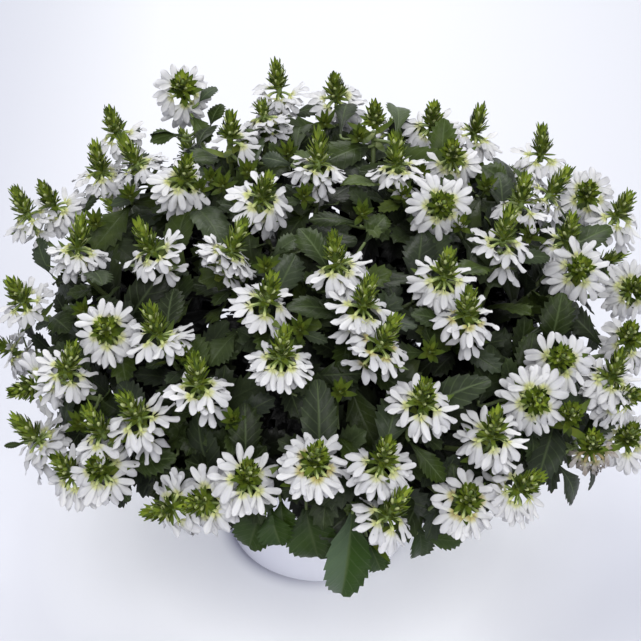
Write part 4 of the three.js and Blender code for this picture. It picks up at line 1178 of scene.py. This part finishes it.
# One floret: five petals, the tube behind them and a bract
def add_fan(piece, spike, fan, drop, droop, wear):
    index, axis = spike.index, spike.axis
    salt = round(FAN_SALT * fan)
    facing = spike.start + fan * FAN_TURN + FAN_TURN_SPREAD * (draw(index, 90 + salt) - 0.5)
    size = mix(*FAN_SIZES, draw(index, 150 + salt)) * mix(*RING_SIZES, draw(index, 149))
    out = outward(spike, facing)
    side = np.cross(axis, out)
    throat = spike.centre + out * PETAL_START - axis * drop
    petals = np.arange(PETALS)
    salts = 200 + PETALS * salt + petals
    chance = draw(index, salts)
    other = draw(index, salts + 300)
    turns = PETAL_TURN * (petals - (PETALS - 1) / 2) + PETAL_TURN_SPREAD * (chance - 0.5)
    turns = turns + FAN_SKEW * (draw(index, 190 + salt) - 0.5)
    ways = out * np.cos(turns)[:, None] + side * np.sin(turns)[:, None]
    tilts = droop + mix(*FAN_TILTS, draw(index, 180 + salt)) + mix(*PETAL_TILTS, other)
    ways = unit(ways - axis * tilts[:, None])
    leans = mix(*PETAL_LEANS, draw(index, salts + 600))
    lengths = PETAL_REACH * size * mix(*PETAL_LENGTHS, other) * (1 - WITHERED_SHORTER * wear)
    widths = PETAL_HALF_WIDTH * size * mix(*PETAL_WIDTHS, chance) * (1 - WITHERED_NARROWER * wear)
    # Petals grey with a random tone and with painted shade for each mm of drop
    add_blades(piece, PETAL, throat + ways * PETAL_FOOT, ways, axis + side * leans[:, None],
               lengths, widths, PETAL_SHAPE, columns=5,
               tone=np.clip(chance + DROP_SHADE * drop, 0, MOST_PETAL_TONE),
               bend=mix(*PETAL_BENDS, chance) + WITHERED_BEND * wear,
               cup=mix(*PETAL_CUPS, other), wave=PETAL_WAVE, thickness=PETAL_THICKNESS,
               stain=wear, warm=WARM_THROATS.get(index, WARM_THROAT))
    foot = spike.centre + out - axis * (drop - FAN_BRACT_RISE)
    outwards, sideways, upwards = FAN_BRACT_WAY
    way = out * outwards + side * sideways * (chance[0] - 0.5) + axis * upwards
    add_bracts(piece, axis, foot, way[None], mix(*FAN_BRACT_LENGTHS, chance[1]),
               FAN_BRACT_HALF_WIDTH, tone=0.3 * chance[2], bend=0.35, cup=0.3)
    start = spike.centre - axis * (TUBE_DROP_SHARE * drop) + out * TUBE_FOOT
    bow = axis * mix(*TUBE_BOWS, draw(index, 170 + salt))
    path = bezier(start, start + out * TUBE_START_PULL + bow, throat - out * TUBE_END_PULL + bow,
                  throat + out * TUBE_FOOT, steps=len(TUBE_RADII) - 1)
    add_tubes(piece, TUBE, path[None], TUBE_RADII, sides=8, stain=wear)


# How far a fan hangs, which is more on the side that is downhill
def droop_of(spike, fan, more):
    facing = spike.start + fan * FAN_TURN
    downhill = -math.sin(facing) * spike.forward[2]
    return FAN_DROOP + FAN_DROOP_SPREAD * draw(spike.index, 20 + fan) + FAN_SAG * downhill + more


def add_ring(piece, spike):
    index = spike.index
    wear = WORN.get(index, 0.0)
    facing = int(spike.axis @ VIEW_BACK > SECOND_TIER_FACING)
    for fan in range(spike.fans):
        drop = FAN_DROP * draw(index, 10 + fan)
        if is_low_fan(spike, fan):
            droop = droop_of(spike, fan, LOWER_FAN_DROOP)
            add_fan(piece, spike, fan, LOWER_FAN_DROP + drop, droop, wear)
        add_fan(piece, spike, fan, drop, droop_of(spike, fan, 0), wear)
        # A second tier half a step round, just under the first
        if index in FULL_RINGS or draw(index, 30 + fan) < SECOND_TIER_SHARES[facing]:
            drop = mix(*SECOND_TIER_DROPS, draw(index, 40 + fan))
            add_fan(piece, spike, fan + 0.5, drop, droop_of(spike, fan, SECOND_TIER_DROOP), wear)
    for turn, drop in HANGING_FANS.get(index, []):
        add_fan(piece, spike, (turn - spike.start) / FAN_TURN, drop, HANGING_DROOP, 0.0)


# The head of a spike: narrow bracts that close up towards the tip, with buds among them
def add_head(piece, spike):
    index, centre, axis = spike.index, spike.centre, spike.axis
    scale = HEAD_SCALES.get(index, 1)
    add_tuft(piece, spike, index, HEAD_TUFT, rise=scale, size=scale)
    add_tuft(piece, spike, index, LARGE_TUFT, size=max(1, scale))
    starts, ways, *_ = tuft_places(spike, index, BUD_TUFT, scale)
    places = BUD_LENGTH * scale * np.array(BUD_PLACES)[:, None]
    add_tubes(piece, STEM, starts[:, None] + ways[:, None] * places, BUD_RADII, sides=6, tone=1.0)
    core = [centre + axis * place * (scale if place > 0 else 1) for place in CORE_PLACES]
    core = bezier(*core, steps=len(CORE_RADII) - 1)
    add_tubes(piece, STEM, core[None], CORE_RADII, sides=7, tone=0.4)


# A stem that gets thinner from start to end
def add_stem(piece, path, radii, sides, tone):
    add_tubes(piece, STEM, path[None], np.linspace(*radii, len(path)), sides, tone=tone)


# A young shoot: a stem from the nearest one, a tuft of bracts and a few leaves under it
def add_shoot(piece, shoot):
    path, salt = shoot.path, shoot.salt
    add_stem(piece, path, radii=(1.2, 1.0), sides=6, tone=0.4)
    add_tuft(piece, shoot.spike, salt, SHOOT_TUFT)
    add_small_leaves(piece, path, salt, SHOOT_LEAVES, 1)


# Whether places lie within the plant's margins in the front view
def within_outline(places):
    across, down = in_view(places)
    upper = np.interp(across, *np.transpose(UPPER_OUTLINE))
    lower = np.interp(across, *np.transpose(LOWER_OUTLINE))
    return (down > upper) & (down < lower)


# How bright a leaf is that ends at a height: painted shade that darkens lower leaves
def light_at(height):
    return mix(DARKEST, 1, np.clip((height - DARKEST_AT) / (DARK_BELOW - DARKEST_AT), 0, 1))


# Leaves along the stems between the ones that the solids hold
def add_small_leaves(piece, path, salt, count, first):
    number = np.arange(count)
    chance = draw(salt, 400 + number)
    other = draw(salt, 460 + number)
    far = np.cumsum([0, *distance(path[1:], path[:-1])])
    places = (far[-1] - first) * (1 - (number + 0.5 * chance) / count)

    def along_path(places):
        return np.stack([np.interp(places, far, path[:, axis]) for axis in range(3)], -1)

    roots = along_path(places)
    stem = unit(along_path(places + STEM_SPAN) - along_path(places - STEM_SPAN))
    across = unit(np.cross(stem, LEAF_SIDE))
    forward = np.cross(stem, across)
    turns = (number * GOLDEN_ANGLE + salt * SMALL_LEAF_TURN)[:, None]
    slopes = np.radians(mix(*SMALL_LEAF_SLOPES, other))[:, None]
    out = across * np.cos(turns) + forward * np.sin(turns)
    ways = unit(out * np.cos(slopes) + stem * np.sin(slopes) + SMALL_LEAF_UPTURN * UP)
    reach = mix(*SMALL_LEAF_LENGTHS, chance)
    shrink = np.ones(count)
    for _ in range(SMALL_LEAF_TRIES):
        tips = roots + ways * (reach * shrink)[:, None]
        inside = dome_share(tips) <= SMALL_LEAF_REACH
        inside &= (tips[:, 2] >= LEAF_LOWEST) & within_outline(tips)
        shrink = np.where(inside, shrink, shrink * SMALL_LEAF_SHORTENING)
    tone = SMALL_LEAF_TONE * chance * light_at(tips[:, 2])
    # A third chance, mixed from the other two, for the painted grey-green sheen
    warm = ((other * 7 + chance * 3) % 1) ** 2
    kept = (shrink > SMALL_LEAF_LEAST) & (dome_share(roots) > SMALL_LEAF_ROOT_LEAST)
    if kept.any():
        lengths, chance, other = (reach * shrink)[kept], chance[kept], other[kept]
        add_blades(piece, LEAF, roots[kept], ways[kept], (stem + SMALL_LEAF_FACING * UP)[kept],
                   lengths, lengths * SMALL_LEAF_HALF_WIDTH, SMALL_SHAPE, columns=5,
                   tone=tone[kept], bend=mix(*SMALL_LEAF_BENDS, other), cup=-0.5 * chance,
                   fold=mix(*SMALL_LEAF_FOLDS, chance), wave=0.14, warm=warm[kept])


# A large leaf. Its blade bends along an arc from its foot to its tip.
def add_held_leaf(piece, leaf, salt):
    chance = draw(salt, 500)
    tone = HELD_LEAF_TONE * chance * light_at(leaf.tip[2])
    warm = draw(salt, 501) ** 2
    fold = mix(*HELD_LEAF_FOLDS, chance)
    sheen = 0.0
    # Bright leaves get lighter tones as painted light, and a shining one a painted sheen on one half
    if leaf.bright:
        tone = mix(*BRIGHT_TONES, chance)
        warm = 0.0
        fold = BRIGHT_FOLD
        sheen = SHINING_SHEEN if leaf.shining else BRIGHT_SHEEN
    # Shaded leaves get painted shade
    if leaf.shaded:
        tone = 0.0
        warm = SHADED_SHEEN
    root, foot = leaf.root, leaf.foot
    way = unit(leaf.tip - foot)
    side = unit(np.cross(way, leaf.up))
    face = np.cross(side, way)
    half = HELD_LEAF_BEND / 2
    start = way * math.cos(half) + face * math.sin(half)
    up = face * math.cos(half) - way * math.sin(half)
    length = distance(leaf.tip, foot) * half / math.sin(half)
    shape = ROUNDED_SHAPE if leaf.width > ROUNDED_FROM else TOOTHED_SHAPE
    add_blades(piece, LEAF, foot, start[None], up, length, leaf.width / 2, shape,
               columns=7, tone=tone, bend=HELD_LEAF_BEND, cup=-0.3, fold=fold, wave=0.1,
               thickness=0.5, warm=warm, sheen=sheen)
    last = foot - start * LEAF_STALK_PULL * distance(foot, root)
    path = bezier(root, mix(root, foot, STALK_PULL), last, foot + start, steps=6)
    add_stem(piece, path, radii=(1.2, 0.9), sides=6, tone=0.3)


# Short side shoots that lean out over the pot's rim
def add_low_shoots(piece, branch):
    root = branch.path[1]
    middle = math.atan2(root[1], root[0])
    for order in range(LOW_SHOOTS):
        salt = LOW_SHOOT_SALT + 10 * branch.index + order
        turn = middle + LOW_SHOOT_TURN * (order - (LOW_SHOOTS - 1) / 2 + draw(salt, 1) - 0.5)
        out = vec(math.cos(turn), math.sin(turn), 0)
        reach = mix(*LOW_SHOOT_REACHES, draw(salt, 2))
        height = SOIL_TOP + mix(*LOW_SHOOT_RISES, draw(salt, 3))
        first = root + out * LOW_SHOOT_START[0] + UP * LOW_SHOOT_START[1]
        last = out * reach * LOW_SHOOT_END[0] + UP * (height + LOW_SHOOT_END[1])
        path = bezier(root - UP * LOW_SHOOT_DEPTH, first, last, out * reach + UP * height, steps=10)
        add_stem(piece, path, radii=(1.8, 1.0), sides=6, tone=0.2)
        add_small_leaves(piece, path, salt, LOW_SHOOT_LEAVES, 0)


for node, own in rings.items():
    piece = Piece()
    for spike in own:
        add_ring(piece, spike)
    show(piece, node.replace("bloom", "florets"), node)

for branch in branches:
    piece = Piece()
    node = f"leafy_stem_{branch.index + 1}"
    main = bezier(*branch.path, steps=14)
    add_stem(piece, main, radii=(3.0, 2.0), sides=10, tone=0.2)
    add_small_leaves(piece, main, MAIN_STEM_SALT + branch.index, MAIN_STEM_LEAVES, 0)
    for spike in branch.spikes:
        path = bezier(*spike.curve, steps=12)
        add_stem(piece, path, radii=(1.7, 1.5), sides=7, tone=0.3)
        add_head(piece, spike)
        add_tuft(piece, spike, spike.index, NECK_TUFT)
        length = distance(path[1:], path[:-1]).sum()
        count = max(LEAST_SMALL_LEAVES, round(length / SMALL_LEAF_ROOM))
        add_small_leaves(piece, path, spike.index, count, SMALL_LEAF_START)
    for order, leaf in enumerate(branch.leaves):
        add_held_leaf(piece, leaf, branch.index * 100 + order)
    add_low_shoots(piece, branch)
    for shoot in branch.shoots:
        add_shoot(piece, shoot)
    show(piece, node.replace("leafy_stem", "foliage"), node)

# The pot and the soil in it
slope = (POT_RIM_RADIUS - POT_BASE_RADIUS) / POT_HEIGHT
inner_base = POT_BASE_RADIUS + slope * POT_FLOOR - POT_WALL
pot = Piece()
add_turned(pot, POT, [
    [0, 0],
    [POT_BASE_RADIUS - POT_EDGE, 0],
    [POT_BASE_RADIUS - POT_EDGE_CUT[0], POT_EDGE_CUT[1]],
    [POT_BASE_RADIUS, POT_EDGE],
    [mix(POT_BASE_RADIUS, POT_RIM_RADIUS, 0.5), POT_HEIGHT / 2],
    [POT_RIM_RADIUS, POT_HEIGHT - POT_EDGE],
    [POT_RIM_RADIUS - POT_EDGE_CUT[0], POT_HEIGHT - POT_EDGE_CUT[1]],
    [POT_RIM_RADIUS - POT_EDGE, POT_HEIGHT],
    [POT_RIM_RADIUS - POT_WALL + POT_EDGE, POT_HEIGHT],
    [POT_RIM_RADIUS - POT_WALL - slope * POT_EDGE, POT_HEIGHT - POT_EDGE],
    [inner_base, POT_FLOOR],
    [0, POT_FLOOR],
])
show(pot, "pot_body", "pot")

soil = Piece()
soil_radius = inner_base + slope * (SOIL_TOP - POT_FLOOR) - SOIL_GAP
soil_floor = POT_FLOOR + SOIL_GAP
soil_outline = [[0, soil_floor], [inner_base - SOIL_GAP, soil_floor]]
for share in np.linspace(0, 1, SOIL_RINGS + 1):
    rise = SOIL_CROWN * min(1, SOIL_CROWN_SLOPE * share)
    soil_outline.append([soil_radius * mix(1, SOIL_MIDDLE_SHARE, share), SOIL_TOP + rise])
soil_outline.append([0, SOIL_TOP + SOIL_CROWN])
add_turned(soil, SOIL, soil_outline)
show(soil, "potting_soil", "soil")


# Floor, light and camera
def look_at(thing, place, target):
    thing.location = tuple(place * MM)
    way = unit(target - place)
    thing.rotation_euler = (math.acos(-way[2]), 0, math.atan2(-way[0], way[1]))


scene = bpy.context.scene
floor_data = bpy.data.meshes.new("floor")
floor_corners = [(x * FLOOR_HALF, y * FLOOR_HALF, 0) for x, y in ((-1, -1), (1, -1), (1, 1), (-1, 1))]
floor_data.from_pydata(floor_corners, [], [(0, 1, 2, 3)])
floor_data.materials.append(FLOOR.material)
floor = bpy.data.objects.new("floor", floor_data)
scene.collection.objects.link(floor)

for name, place, target, width, power, colour in LIGHTS:
    lamp = bpy.data.lights.new(name, "AREA")
    lamp.shape = "DISK"
    lamp.size = width
    lamp.energy = power
    lamp.color = colour
    light = bpy.data.objects.new(name, lamp)
    look_at(light, vec(*place), vec(*target))
    scene.collection.objects.link(light)

world = bpy.data.worlds.new("studio")
world.use_nodes = True
background = world.node_tree.nodes["Background"]
background.inputs["Color"].default_value = WORLD_COLOUR
background.inputs["Strength"].default_value = WORLD_STRENGTH
scene.world = world

camera_data = bpy.data.cameras.new("camera")
camera_data.sensor_width = SENSOR_WIDTH
camera_data.lens = VIEW_FOCAL / (2 * VIEW_HALF) * SENSOR_WIDTH
camera = bpy.data.objects.new("camera", camera_data)
look_at(camera, VIEWPOINT, VIEW_TARGET)
scene.collection.objects.link(camera)
scene.camera = camera
scene.view_settings.view_transform = "Standard"
